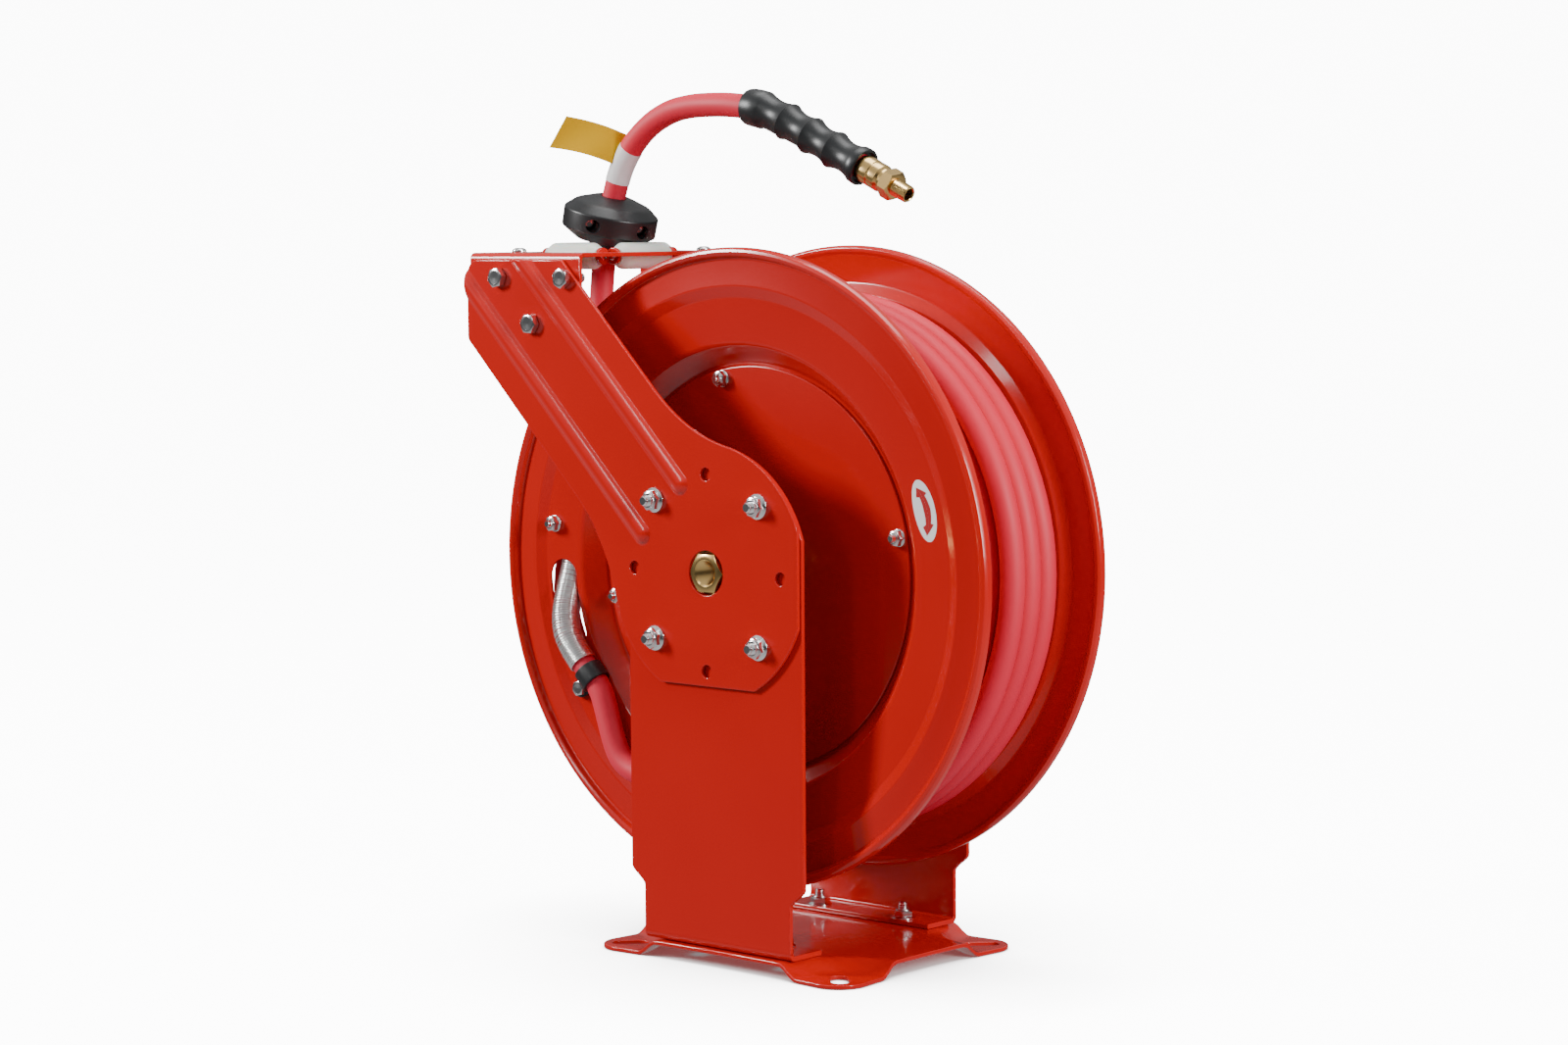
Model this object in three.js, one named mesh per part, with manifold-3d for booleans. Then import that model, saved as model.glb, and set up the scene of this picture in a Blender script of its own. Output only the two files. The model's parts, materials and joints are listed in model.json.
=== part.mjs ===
// Spring-rewind air hose reel with two guide arms: base, pedestals, arms, roller guide, drum, hose.
// Millimetres, +Z up. The reel axis runs along Y, the guide arms lean towards -X, and the floor is z = 0.
// Distances called "out" are measured along Y from the middle of the drum; "near" pieces are on the -Y side.
import * as THREE from "three";
import { mergeVertices } from "three/addons/utils/BufferGeometryUtils.js";
import Module from "manifold-3d";

const wasm = await Module();
wasm.setup();

// ---------------------------------------------------------------- driving dimensions
const GAP = 0.3; // left between pieces that touch
const SHEET = 3; // arms, roller bracket and base plate
const AXIS_HEIGHT = 278; // reel axis above the floor

const arm = { out: 95, width: 110, reach: 236.5, top: 216.8, corner: 13, hubRadius: 91, right: 84.5, foot: 79.5 };
const bead = { offset: 26, width: 15, height: 3.6, start: 52 };
const pedestal = { sheet: 3.5, offset: 4, halfWidth: 81.5, neckHalf: 69, neckLow: 50, neckHigh: 64, footIn: 58 };
const base = { offset: 7, halfX: 119.6, halfY: 98.5, raise: 9, corner: 22, waist: 4, pad: 45, ramp: 61 };
const slot = { width: 12.6, length: 26, fromCorner: 28.5 };
const boltCircle = { radius: 69, count: 8 };
const m8 = { shank: 3.9, hole: 4.6, flats: 13, head: 5.3, nut: 6.5, collar: 8.9, collarThick: 1.5, stud: 5.6 };
const baseBolt = { halfX: 40, out: 66 };
const bracket = { centre: -180, halfLength: 56.5, top: 222, lap: 67, boltPitch: 66.5, boltHigh: 204, boltDrop: 33 };
const guide = { centre: -182, radius: 9.8, bore: 2.9, pin: 2.4, acrossX: 32, acrossY: 37, halfX: 26, halfY: 27 };
const ear = { sheet: 3, radius: 6, slack: 0.5 };
const flange = { radius: 226, sheet: 2, recess: 144.5, bandIn: 158, bandOut: 191, ridge: 199, lipIn: 219, inner: 126 };
const flangeOut = { bandIn: 58, bandOut: 61, ridge: 64.5, lip: 68 };
const oval = { radius: 176, half: 12.5, from: 185, to: 199.5 };
const drum = { coreRadius: 145, coreWall: 2, discOut: 45, discSheet: 2, discRadius: 143 };
const hose = { radius: 8.75, layerTop: 178, outerTop: 193.4, outerNear: -2.2, outerFar: 51 };
const lead = { out: 70, bend: 70, circle: 160, start: 47 };
const guard = { outer: 10.4, inner: 9.3, wire: 1.1 };
const clamp = { angle: 212, width: 13, wall: 1.8, tab: 2.2, tabEnd: 190, boltAt: 182, lean: 9 };
const m6 = { shank: 2.9, hole: 3.4, flats: 10, head: 4 };
const axle = { radius: 11, shoulder: 15.2, thread: 9, slip: 0.4 };
const inlet = { flats: 26.4, proud: 1, bore: 9.3, spigot: 13, collar: 19, collarThick: 3, depth: 30, nut: 8 };
const outlet = { radius: 21, in: 64, out: 79, stub: 10.5 };
const bush = { radius: 16, in: 36, out: 52 };
const hubHole = 15.8;
const stop = { radius: 34, below: 13, rimLow: -4.6, rimHigh: 9, above: 21, bore: 9.4, x: -182.3, z: 242.5 };
const stopTurn = { tilt: 13.6, split: 56.5 }; // leans with the hose, and its joint faces the front of the reel
const grip = { collar: 11.5, neck: 10.9, bulge: 14, bulges: 4, rim: 13.7 };
const fitting = { ferrule: 10, ferruleLength: 22, flats: 18, hexLength: 9, thread: 6.6, threadLength: 13, bore: 4.2 };
const ratchet = { tip: 48, root: 41, teeth: 12, phase: 84, boss: 30, in: 70, out: 76 };
const pawl = { radius: 70, angle: 112.5, length: 37, eye: 8, pin: 4, bore: 4.4, rest: -20.8 };
const spring = { strip: 1.6, halfWidth: 19, turns: 5, inner: 26, outer: 104, tail: 141, arbor: 21 };

// ---------------------------------------------------------------- derived places
const DEG = Math.PI / 180;
const AROUND = 32; // sides of the drum's round pieces
const axisX = (arm.reach - flange.radius) / 2; // centres the whole length on x = 0
const floorZ = -AXIS_HEIGHT;
const armIn = arm.out - SHEET;
const pedestalOut = armIn - GAP;
const pedestalIn = pedestalOut - pedestal.sheet;
const platformTop = floorZ + base.raise + SHEET;
const bracketOut = armIn - GAP;
const bracketIn = bracketOut - SHEET;
const rollerZ = bracket.top - SHEET;
const ringOut = drum.discOut - drum.discSheet - GAP;
const coreHalf = ringOut - flange.sheet - GAP;
const coilSide = flangeOut.bandIn - flange.sheet + 1;
const leadCut = -(coilSide + GAP);

// ---------------------------------------------------------------- materials
const finish = (color, roughness, metalness) => () =>
  new THREE.MeshStandardMaterial({ color, roughness, metalness });
const redPaint = finish(0xc3210f, 0.3, 0);
const zinc = finish(0xc9cbce, 0.3, 1);
const steel = finish(0x8d8f92, 0.4, 1);
const brass = finish(0xc79a45, 0.3, 1);
const bronze = finish(0xa9713a, 0.45, 1);
const hoseRubber = finish(0xd8404c, 0.6, 0);
const blackPlastic = finish(0x1b1c1e, 0.5, 0);
const nylon = finish(0xe9e4d6, 0.5, 0);

// ---------------------------------------------------------------- solids
function solid(geometry) {
  const plain = geometry.index ? geometry.toNonIndexed() : geometry.clone();
  plain.deleteAttribute("normal");
  plain.deleteAttribute("uv");
  const merged = mergeVertices(plain, 1e-4);
  const vertProperties = new Float32Array(merged.attributes.position.array);
  const triVerts = new Uint32Array(merged.index.array);
  const made = new wasm.Manifold(new wasm.Mesh({ numProp: 3, vertProperties, triVerts }));
  if (made.volume() >= 0) return made;
  for (let i = 0; i < triVerts.length; i += 3) {
    [triVerts[i + 1], triVerts[i + 2]] = [triVerts[i + 2], triVerts[i + 1]];
  }
  return new wasm.Manifold(new wasm.Mesh({ numProp: 3, vertProperties, triVerts }));
}

function geometryOf(body) {
  const mesh = body.getMesh();
  const geometry = new THREE.BufferGeometry();
  geometry.setAttribute("position", new THREE.BufferAttribute(new Float32Array(mesh.vertProperties), 3));
  geometry.setIndex(new THREE.BufferAttribute(new Uint32Array(mesh.triVerts), 1));
  return geometry;
}

const join = (bodies) => bodies.reduce((whole, body) => whole.add(body));
const cut = (body, tools) => tools.reduce((whole, tool) => whole.subtract(tool), body);
const moved = (body, x, y, z) => solid(geometryOf(body).translate(x, y, z));
const swung = (body, angle) => solid(geometryOf(body).rotateY(-angle * DEG));

// A profile of [radius, height] pairs turned about an axis; it closes on the axis or, if a ring, on itself.
function turned(profile, sides, axis = "y", ring = false) {
  const points = profile.map(([radius, height]) => new THREE.Vector2(radius, height));
  if (ring) points.push(points[0].clone());
  const geometry = new THREE.LatheGeometry(points, sides);
  if (axis === "z") geometry.rotateX(Math.PI / 2);
  if (axis === "x") geometry.rotateZ(-Math.PI / 2);
  return solid(geometry);
}

const rod = (radius, from, to, sides = 12, axis = "y") =>
  turned([[0, from], [radius, from], [radius, to], [0, to]], sides, axis);
const tube = (outer, inner, from, to, sides = 20, axis = "y") =>
  turned([[inner, from], [outer, from], [outer, to], [inner, to]], sides, axis, true);
const hexRod = (flats, from, to, axis = "y") => rod(flats / Math.sqrt(3), from, to, 6, axis);

// An outline in X and Z, made thick along Y.
function plateXZ(shape, from, to, curveSegments = 8) {
  const geometry = new THREE.ExtrudeGeometry(shape, { depth: to - from, bevelEnabled: false, curveSegments });
  return solid(geometry.rotateX(Math.PI / 2).translate(0, to, 0));
}

// An outline in X and Y, made thick along Z.
function plateXY(shape, from, to, curveSegments = 6) {
  const geometry = new THREE.ExtrudeGeometry(shape, { depth: to - from, bevelEnabled: false, curveSegments });
  return solid(geometry.translate(0, 0, from));
}

function block([x0, x1], [y0, y1], [z0, z1]) {
  const geometry = new THREE.BoxGeometry(x1 - x0, y1 - y0, z1 - z0);
  return solid(geometry.translate((x0 + x1) / 2, (y0 + y1) / 2, (z0 + z1) / 2));
}

function hoseAlong(path, radius, steps, sides = 10) {
  const section = new THREE.Shape();
  for (let i = 0; i < sides; i += 1) {
    const turn = (2 * Math.PI * i) / sides;
    section[i ? "lineTo" : "moveTo"](radius * Math.cos(turn), radius * Math.sin(turn));
  }
  return solid(new THREE.ExtrudeGeometry(section, { steps, extrudePath: path, bevelEnabled: false }));
}

// A profile of [radius, distance] pairs turned about a curved line that lies in a plane of constant Y.
function turnedAlong(path, profile, sides) {
  const geometry = new THREE.LatheGeometry(profile.map(([r, h]) => new THREE.Vector2(r, h)), sides);
  const position = geometry.attributes.position;
  const length = path.getLength();
  for (let i = 0; i < position.count; i += 1) {
    const share = THREE.MathUtils.clamp(position.getY(i) / length, 0, 1);
    const centre = path.getPointAt(share);
    const ahead = path.getTangentAt(share);
    const reach = position.getX(i);
    position.setXYZ(i, centre.x + ahead.z * reach, centre.y + position.getZ(i), centre.z - ahead.x * reach);
  }
  return solid(geometry);
}

const onCircle = (radius, angle) => [radius * Math.cos(angle * DEG), radius * Math.sin(angle * DEG)];
const atPolar = (radius, angle, y) => new THREE.Vector3(onCircle(radius, angle)[0], y, onCircle(radius, angle)[1]);
const span = (side, from, to) => (side < 0 ? [-to, -from] : [from, to]);
const sides = [
  { side: -1, name: "near" },
  { side: 1, name: "far" },
];

// ---------------------------------------------------------------- the tree of parts
const reel = new THREE.Group();
const hub = new THREE.Group(); // its origin is the middle of the drum
hub.position.set(axisX, 0, AXIS_HEIGHT);
reel.add(hub);

function part(name, body, material) {
  const mesh = new THREE.Mesh(geometryOf(body), material());
  mesh.name = name;
  hub.add(mesh);
  return mesh;
}

// ---------------------------------------------------------------- M8 bolts
// A bolt along Y with its nut: the head's seat is at "head", the nut's seat at "nut".
function boltAlongY(head, nut) {
  const way = Math.sign(nut - head);
  const shank = rod(m8.shank, Math.min(head, nut) - 1, Math.max(head, nut) + 1, 6);
  const headBody = hexRod(m8.flats, ...inOrder(head, head - way * m8.head));
  const collar = rod(m8.collar, ...inOrder(nut, nut + way * m8.collarThick), 8);
  const nutBody = hexRod(m8.flats, ...inOrder(nut, nut + way * m8.nut));
  const stud = rod(m8.shank, ...inOrder(nut, nut + way * (m8.nut + m8.stud)), 6);
  return join([shank, headBody, collar, nutBody, stud]);
}

const inOrder = (a, b) => [Math.min(a, b), Math.max(a, b)];

function armBoltPlaces() {
  const places = [];
  for (let i = 0; i < boltCircle.count; i += 2) places.push(45 + i * (360 / boltCircle.count));
  return places;
}

const bracketBoltPlaces = [
  [bracket.centre + 11 - bracket.boltPitch / 2, bracket.boltHigh],
  [bracket.centre + 11 + bracket.boltPitch / 2, bracket.boltHigh],
  [bracket.centre + 11, bracket.boltHigh - bracket.boltDrop],
];

// ---------------------------------------------------------------- base plate
function baseOutline() {
  const { offset, halfX, halfY, corner, waist } = base;
  const signs = [[1, -1], [1, 1], [-1, 1], [-1, -1]];
  const centre = (i) => [offset + signs[i % 4][0] * (halfX - corner), signs[i % 4][1] * (halfY - corner)];
  const shape = new THREE.Shape();
  for (let i = 0; i < 4; i += 1) {
    const start = (i - 1) * (Math.PI / 2);
    const end = start + Math.PI / 2;
    const across = [Math.round(Math.cos(end)), Math.round(Math.sin(end))];
    const [nextX, nextY] = centre(i + 1);
    shape.absarc(...centre(i), corner, start, end, false);
    shape.quadraticCurveTo(
      offset + across[0] * (halfX - 2 * waist),
      across[1] * (halfY - 2 * waist),
      nextX + corner * across[0],
      nextY + corner * across[1],
    );
  }
  return shape;
}

// Turned about a corner of the base: the room above its foot pad and ramp, and the foot itself.
const footSlope = (base.ramp - base.pad) / base.raise;
const aboveFoot = [
  [0, SHEET], [base.pad - 1, SHEET],
  [base.ramp - 1 + footSlope, base.raise + SHEET + 1], [0, base.raise + SHEET + 1],
];
const footCone = [
  [0, -2], [base.pad, -2], [base.pad, 0], [base.ramp + footSlope, base.raise + 1], [0, base.raise + 1],
];

function slotTool(cornerX, cornerY) {
  const inX = -Math.sign(cornerX - base.offset);
  const inY = -Math.sign(cornerY);
  const half = (slot.length - slot.width) / 2;
  const ends = [slot.fromCorner - half, slot.fromCorner + half];
  const centres = ends.map((d) => [cornerX + (inX * d) / Math.SQRT2, cornerY + (inY * d) / Math.SQRT2]);
  const shape = new THREE.Shape();
  const angle = Math.atan2(inY, inX);
  shape.absarc(...centres[0], slot.width / 2, angle + Math.PI / 2, angle + 1.5 * Math.PI, false);
  shape.absarc(...centres[1], slot.width / 2, angle - Math.PI / 2, angle + Math.PI / 2, false);
  shape.closePath();
  return plateXY(shape, -5, base.raise + SHEET + 5, 4);
}

function basePlate() {
  const corners = [];
  for (const x of [base.offset - base.halfX, base.offset + base.halfX]) {
    for (const y of [-base.halfY, base.halfY]) corners.push([x, y]);
  }
  const outline = plateXY(baseOutline(), 0, base.raise + SHEET, 4);
  const atCorners = (profile) => corners.map(([x, y]) => moved(turned(profile, 24, "z"), x, y, 0));
  const wide = 2 * base.halfX;
  const below = cut(block([-wide, wide], [-wide, wide], [-1, base.raise]), atCorners(footCone));
  const holes = [];
  for (const x of [-baseBolt.halfX, baseBolt.halfX]) {
    for (const { side } of sides) {
      const hole = rod(m8.hole, -1, base.raise + SHEET + 1, 8, "z");
      holes.push(moved(hole, pedestal.offset + x, side * baseBolt.out, 0));
    }
  }
  const slots = corners.map(([x, y]) => slotTool(x, y));
  const plate = cut(outline, [below, ...atCorners(aboveFoot), ...holes, ...slots]);
  return moved(plate, 0, 0, floorZ);
}

// ---------------------------------------------------------------- pedestals and guide arms
function pedestalOutline() {
  const radius = arm.hubRadius - 1.5;
  const left = pedestal.offset - pedestal.halfWidth;
  const right = pedestal.offset + pedestal.halfWidth;
  const neckLeft = pedestal.offset - pedestal.neckHalf;
  const neckRight = pedestal.offset + pedestal.neckHalf;
  const low = floorZ + pedestal.neckLow;
  const high = floorZ + pedestal.neckHigh;
  const middle = (low + high) / 2;
  const foot = platformTop + GAP;
  const shape = new THREE.Shape();
  shape.moveTo(neckLeft, foot);
  shape.lineTo(neckRight, foot);
  shape.lineTo(neckRight, low);
  shape.bezierCurveTo(neckRight, middle, right, middle, right, high);
  const rightAngle = Math.acos(right / radius);
  const leftAngle = Math.acos(left / radius);
  shape.absarc(0, 0, radius, rightAngle, leftAngle, false);
  shape.lineTo(left, high);
  shape.bezierCurveTo(left, middle, neckLeft, middle, neckLeft, low);
  shape.closePath();
  return shape;
}

function pedestalBody(side) {
  const upright = plateXZ(pedestalOutline(), ...span(side, pedestalIn, pedestalOut));
  const foot = block(
    [pedestal.offset - pedestal.neckHalf, pedestal.offset + pedestal.neckHalf],
    span(side, pedestal.footIn, pedestalOut),
    [platformTop + GAP, platformTop + GAP + pedestal.sheet],
  );
  const tools = [rod(hubHole, ...span(side, pedestalIn - 1, pedestalOut + 1), 20)];
  for (const angle of armBoltPlaces()) {
    const [x, z] = onCircle(boltCircle.radius, angle);
    tools.push(moved(rod(m8.hole, ...span(side, pedestalIn - 1, pedestalOut + 1), 8), x, 0, z));
  }
  for (const x of [-baseBolt.halfX, baseBolt.halfX]) {
    const hole = rod(m8.hole, platformTop - 1, platformTop + 5, 8, "z");
    tools.push(moved(hole, pedestal.offset + x, side * baseBolt.out, 0));
  }
  if (side > 0) {
    const [x, z] = onCircle(pawl.radius, pawl.angle);
    tools.push(moved(rod(pawl.pin + GAP, pedestalIn - 1, pedestalOut + 1, 10), x, 0, z));
  }
  return cut(upright.add(foot), tools);
}

// A round hub plate, cut flat at the right and the foot, with an arm at 45 degrees that squares off at its head.
function armOutline() {
  const half = (arm.width / 2) * Math.SQRT2;
  const rightAngle = Math.acos(arm.right / arm.hubRadius);
  const footAngle = Math.asin(arm.foot / arm.hubRadius);
  const leftAngle = 204;
  const topAngle = 78;
  const bendLeft = -125;
  const bendTop = 127.8;
  const tangent = 39.1;
  const [topX, topZ] = onCircle(arm.hubRadius, topAngle);
  const shape = new THREE.Shape();
  shape.moveTo(-arm.reach, arm.reach - half);
  shape.lineTo(bendLeft, -bendLeft - half);
  shape.quadraticCurveTo(bendLeft + 29, -bendLeft - half - 29, ...onCircle(arm.hubRadius, leftAngle));
  shape.absarc(0, 0, arm.hubRadius, leftAngle * DEG, Math.PI + footAngle, false);
  shape.absarc(0, 0, arm.hubRadius, -footAngle, -rightAngle, false);
  shape.absarc(0, 0, arm.hubRadius, rightAngle, topAngle * DEG, false);
  shape.quadraticCurveTo(
    topX - tangent * Math.sin(topAngle * DEG),
    topZ + tangent * Math.cos(topAngle * DEG),
    half - bendTop,
    bendTop,
  );
  shape.lineTo(half - arm.top, arm.top);
  shape.lineTo(-arm.reach + arm.corner, arm.top);
  shape.quadraticCurveTo(-arm.reach, arm.top, -arm.reach, arm.top - arm.corner);
  shape.closePath();
  return shape;
}

// A pressed stiffening bead, drawn along the arm from its round end near the hub out past the head.
function beadBody(side, offset) {
  const half = bead.width / 2;
  const far = 2 * arm.reach;
  const shape = new THREE.Shape();
  shape.moveTo(far, -half);
  shape.lineTo(far, half);
  shape.lineTo(bead.start + half, half);
  shape.absarc(bead.start + half, 0, half, Math.PI / 2, 1.5 * Math.PI, false);
  const height = bead.height / 2;
  const low = plateXZ(shape, ...span(side, arm.out - 1, arm.out + height), 3);
  const narrow = new THREE.Shape();
  narrow.moveTo(far, -half * 0.55);
  narrow.lineTo(far, half * 0.55);
  narrow.lineTo(bead.start + half, half * 0.55);
  narrow.absarc(bead.start + half, 0, half * 0.55, Math.PI / 2, 1.5 * Math.PI, false);
  const high = plateXZ(narrow, ...span(side, arm.out - 1, arm.out + bead.height), 3);
  return swung(moved(low.add(high), 0, 0, offset), 135);
}

function armBody(side) {
  const outline = armOutline();
  const plate = plateXZ(outline, ...span(side, armIn, arm.out), 6);
  const beads = join([-bead.offset, bead.offset].map((offset) => beadBody(side, offset)));
  const trimmed = beads.intersect(plateXZ(outline, ...span(side, armIn, arm.out + bead.height + 1), 6));
  const through = span(side, armIn - 1, arm.out + bead.height + 2);
  const tools = [rod(hubHole, ...through, 20)];
  for (let i = 0; i < boltCircle.count; i += 1) {
    const [x, z] = onCircle(boltCircle.radius, i * (360 / boltCircle.count));
    tools.push(moved(rod(m8.hole, ...through, 8), x, 0, z));
  }
  for (const [x, z] of bracketBoltPlaces) tools.push(moved(rod(m8.hole, ...through, 8), x, 0, z));
  return cut(plate.add(trimmed), tools);
}

// ---------------------------------------------------------------- roller bracket
function bracketSideOutline() {
  const left = bracket.centre - bracket.halfLength;
  const right = bracket.centre + bracket.halfLength;
  const low = bracket.top - bracket.lap;
  const shape = new THREE.Shape();
  shape.moveTo(left, bracket.top);
  shape.lineTo(left, bracket.top - 30);
  shape.lineTo(bracket.centre - 8, low);
  shape.lineTo(bracket.centre + 30, low);
  shape.lineTo(right, bracket.top - 30);
  shape.lineTo(right, bracket.top);
  shape.closePath();
  return shape;
}

function bracketBody() {
  const left = bracket.centre - bracket.halfLength;
  const right = bracket.centre + bracket.halfLength;
  const gapX = guide.halfX + ear.slack;
  const gapY = guide.halfY + ear.slack;
  const clearX = guide.acrossX + guide.radius + 1.5;
  const clearY = guide.acrossY + guide.radius + 1.5;
  const top = block([left, right], [-bracketOut, bracketOut], [bracket.top - SHEET, bracket.top]);
  const window = [
    block([guide.centre - gapX, guide.centre + gapX], [-clearY, clearY], [rollerZ - 9, rollerZ + 9]),
    block([guide.centre - clearX, guide.centre + clearX], [-gapY, gapY], [rollerZ - 9, rollerZ + 9]),
  ];
  const cheeks = sides.map(({ side }) => plateXZ(bracketSideOutline(), ...span(side, bracketIn, bracketOut)));
  const ears = [];
  const pinHoles = [];
  for (const signX of [-1, 1]) {
    for (const signY of [-1, 1]) {
      const atX = rod(ear.radius, ...span(signX, gapX, gapX + ear.sheet), 10, "x");
      ears.push(moved(atX, guide.centre, signY * guide.acrossY, rollerZ));
      const atY = rod(ear.radius, ...span(signY, gapY, gapY + ear.sheet), 10);
      ears.push(moved(atY, guide.centre + signX * guide.acrossX, 0, rollerZ));
    }
  }
  for (const sign of [-1, 1]) {
    const alongX = rod(guide.pin + GAP, -pinEnd(guide.halfX) - GAP, pinEnd(guide.halfX) + GAP, 8, "x");
    pinHoles.push(moved(alongX, guide.centre, sign * guide.acrossY, rollerZ));
    const alongY = rod(guide.pin + GAP, -pinEnd(guide.halfY) - GAP, pinEnd(guide.halfY) + GAP, 8);
    pinHoles.push(moved(alongY, guide.centre + sign * guide.acrossX, 0, rollerZ));
  }
  const boltHoles = bracketBoltPlaces.map(([x, z]) =>
    moved(rod(m8.hole, -bracketOut - 1, bracketOut + 1, 8), x, 0, z),
  );
  return cut(join([cut(top, window), ...cheeks, ...ears]), [...pinHoles, ...boltHoles]);
}

const pinEnd = (half) => half + ear.slack + ear.sheet;

const rollerBody = (half, axis) => {
  const { radius, bore } = guide;
  const profile = [
    [bore, -half], [radius - 3, -half], [radius, -half + 5],
    [radius, half - 5], [radius - 3, half], [bore, half],
  ];
  return turned(profile, 12, axis, true);
};

const pinBody = (half, axis) => rod(guide.pin, -pinEnd(half), pinEnd(half), 8, axis);

// ---------------------------------------------------------------- drum
// The pressed flange in section, as [radius, out] pairs: outer skin first, then back along the hose side.
function flangeProfile(side) {
  const { radius, sheet, recess, bandIn, bandOut, ridge, lipIn, inner } = flange;
  const out = flangeOut;
  const section = [
    [inner, ringOut], [recess, ringOut], [bandIn, out.bandIn], [bandOut, out.bandOut], [ridge, out.ridge],
    [lipIn, out.ridge - 2], [lipIn + 1.5, out.lip], [radius, out.lip - 1], [radius, out.lip - 9],
    [ridge + 0.3, out.ridge - sheet - 0.1], [bandOut + 0.6, out.bandOut - sheet - 0.1],
    [bandIn + 0.9, out.bandIn - sheet - 0.1], [recess + 1.4, ringOut - sheet], [inner, ringOut - sheet],
  ];
  return section.map(([r, y]) => [r, side * y]);
}

// The long opening in the near flange's band, where the hose passes into the drum.
function ovalTool() {
  const shape = new THREE.Shape();
  const inner = oval.radius - oval.half;
  const outer = oval.radius + oval.half;
  shape.absarc(0, 0, outer, oval.from * DEG, oval.to * DEG, false);
  shape.absarc(...onCircle(oval.radius, oval.to), oval.half, oval.to * DEG, (oval.to + 180) * DEG, false);
  shape.absarc(0, 0, inner, oval.to * DEG, oval.from * DEG, true);
  shape.absarc(...onCircle(oval.radius, oval.from), oval.half, (oval.from + 180) * DEG, (oval.from + 360) * DEG, false);
  return plateXZ(shape, -flangeOut.lip - 5, -coilSide + 5, 4);
}

function clampHoleTool() {
  const [x, z] = onCircle(clamp.boltAt, clamp.angle);
  return moved(rod(m6.hole, -flangeOut.lip, -coilSide, 8), x, 0, z);
}

const discBody = (side) =>
  tube(drum.discRadius, bush.radius + GAP, ...span(side, drum.discOut - drum.discSheet, drum.discOut), AROUND);

function coilProfile() {
  const inner = drum.coreRadius + 0.4;
  const wallFoot = coreHalf - 0.8;
  const wallHead = flangeOut.bandIn - flange.sheet - 1.2;
  const shoulder = flange.bandIn + 0.5;
  return [
    [inner, -wallFoot], [shoulder, -wallHead], [hose.layerTop, -coilSide], [hose.layerTop, hose.outerNear],
    [hose.outerTop, hose.outerNear], [hose.outerTop, hose.outerFar], [hose.layerTop, hose.outerFar],
    [hose.layerTop, coilSide], [shoulder, wallHead], [inner, wallFoot],
  ];
}

// The flat power spring: even turns, then a tail that swings out to the drum's core.
function springOutline() {
  const perTurn = 12;
  const count = spring.turns * perTurn;
  const rise = (spring.outer - spring.inner) / count;
  const centres = [];
  for (let i = 0; i <= count; i += 1) centres.push([spring.inner + rise * i, (360 / perTurn) * i]);
  for (let i = 1; i <= 4; i += 1) {
    centres.push([spring.outer + ((spring.tail - spring.outer) * i) / 4, (360 / perTurn) * (count + i)]);
  }
  const half = spring.strip / 2;
  const outer = centres.map(([r, a]) => onCircle(r + half, a));
  const inner = centres.map(([r, a]) => onCircle(r - half, a)).reverse();
  return new THREE.Shape([...outer, ...inner].map(([x, z]) => new THREE.Vector2(x, z)));
}

function ratchetBody() {
  const pitch = 360 / ratchet.teeth;
  const shape = new THREE.Shape();
  for (let i = 0; i < ratchet.teeth; i += 1) {
    const angle = ratchet.phase + i * pitch;
    shape[i ? "lineTo" : "moveTo"](...onCircle(ratchet.root, angle));
    shape.lineTo(...onCircle(ratchet.tip, angle + pitch * 0.9));
  }
  shape.closePath();
  const teeth = plateXZ(shape, ratchet.in, ratchet.out);
  const boss = rod(ratchet.boss, drum.discOut + GAP, ratchet.in + 1, 20);
  return cut(teeth.add(boss), [rod(bush.radius + 0.6, drum.discOut - 1, ratchet.out + 1, 20)]);
}

// ---------------------------------------------------------------- hose on the drum's near side
// From the swivel's stub: a half loop, a stretch round the hub, then in through the oval opening.
function leadPath() {
  const points = [new THREE.Vector3(0, -lead.out, -lead.start)];
  const loopZ = -Math.sqrt((lead.circle - lead.bend) ** 2 - lead.bend ** 2);
  points.push(new THREE.Vector3(0, -lead.out, loopZ));
  for (const angle of [-25, -50, -75, -100, -122]) {
    const [x, z] = onCircle(lead.bend, angle);
    points.push(new THREE.Vector3(x - lead.bend, -lead.out, z + loopZ));
  }
  points.push(atPolar(160, 217, -70), atPolar(161, 212, -70), atPolar(164.5, 208, -70));
  points.push(atPolar(168.5, 203.5, -70), atPolar(171.5, 199.8, -69.3), atPolar(173.4, 196.5, -66.8));
  points.push(atPolar(174.6, 193, -62.3), atPolar(175.2, 189.5, -56.6), atPolar(175.2, 186, -51));
  return new THREE.CatmullRomCurve3(points);
}

// The stretch of a path between two shares of its length, as a path of its own.
function stretch(path, from, to, count) {
  const points = [];
  for (let i = 0; i <= count; i += 1) points.push(path.getPointAt(from + ((to - from) * i) / count));
  return new THREE.CatmullRomCurve3(points);
}

// The share of a path's length where it passes a polar angle, searched along the path.
function shareAtAngle(path, angle) {
  let best = 0;
  let nearest = Infinity;
  for (let share = 0.4; share <= 1; share += 0.002) {
    const p = path.getPointAt(share);
    const off = Math.abs(((Math.atan2(p.z, p.x) / DEG + 360) % 360) - angle);
    if (off < nearest) {
      nearest = off;
      best = share;
    }
  }
  return best;
}

const outsideDrum = () => block([-300, 300], [-200, leadCut], [-300, 300]);

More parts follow.
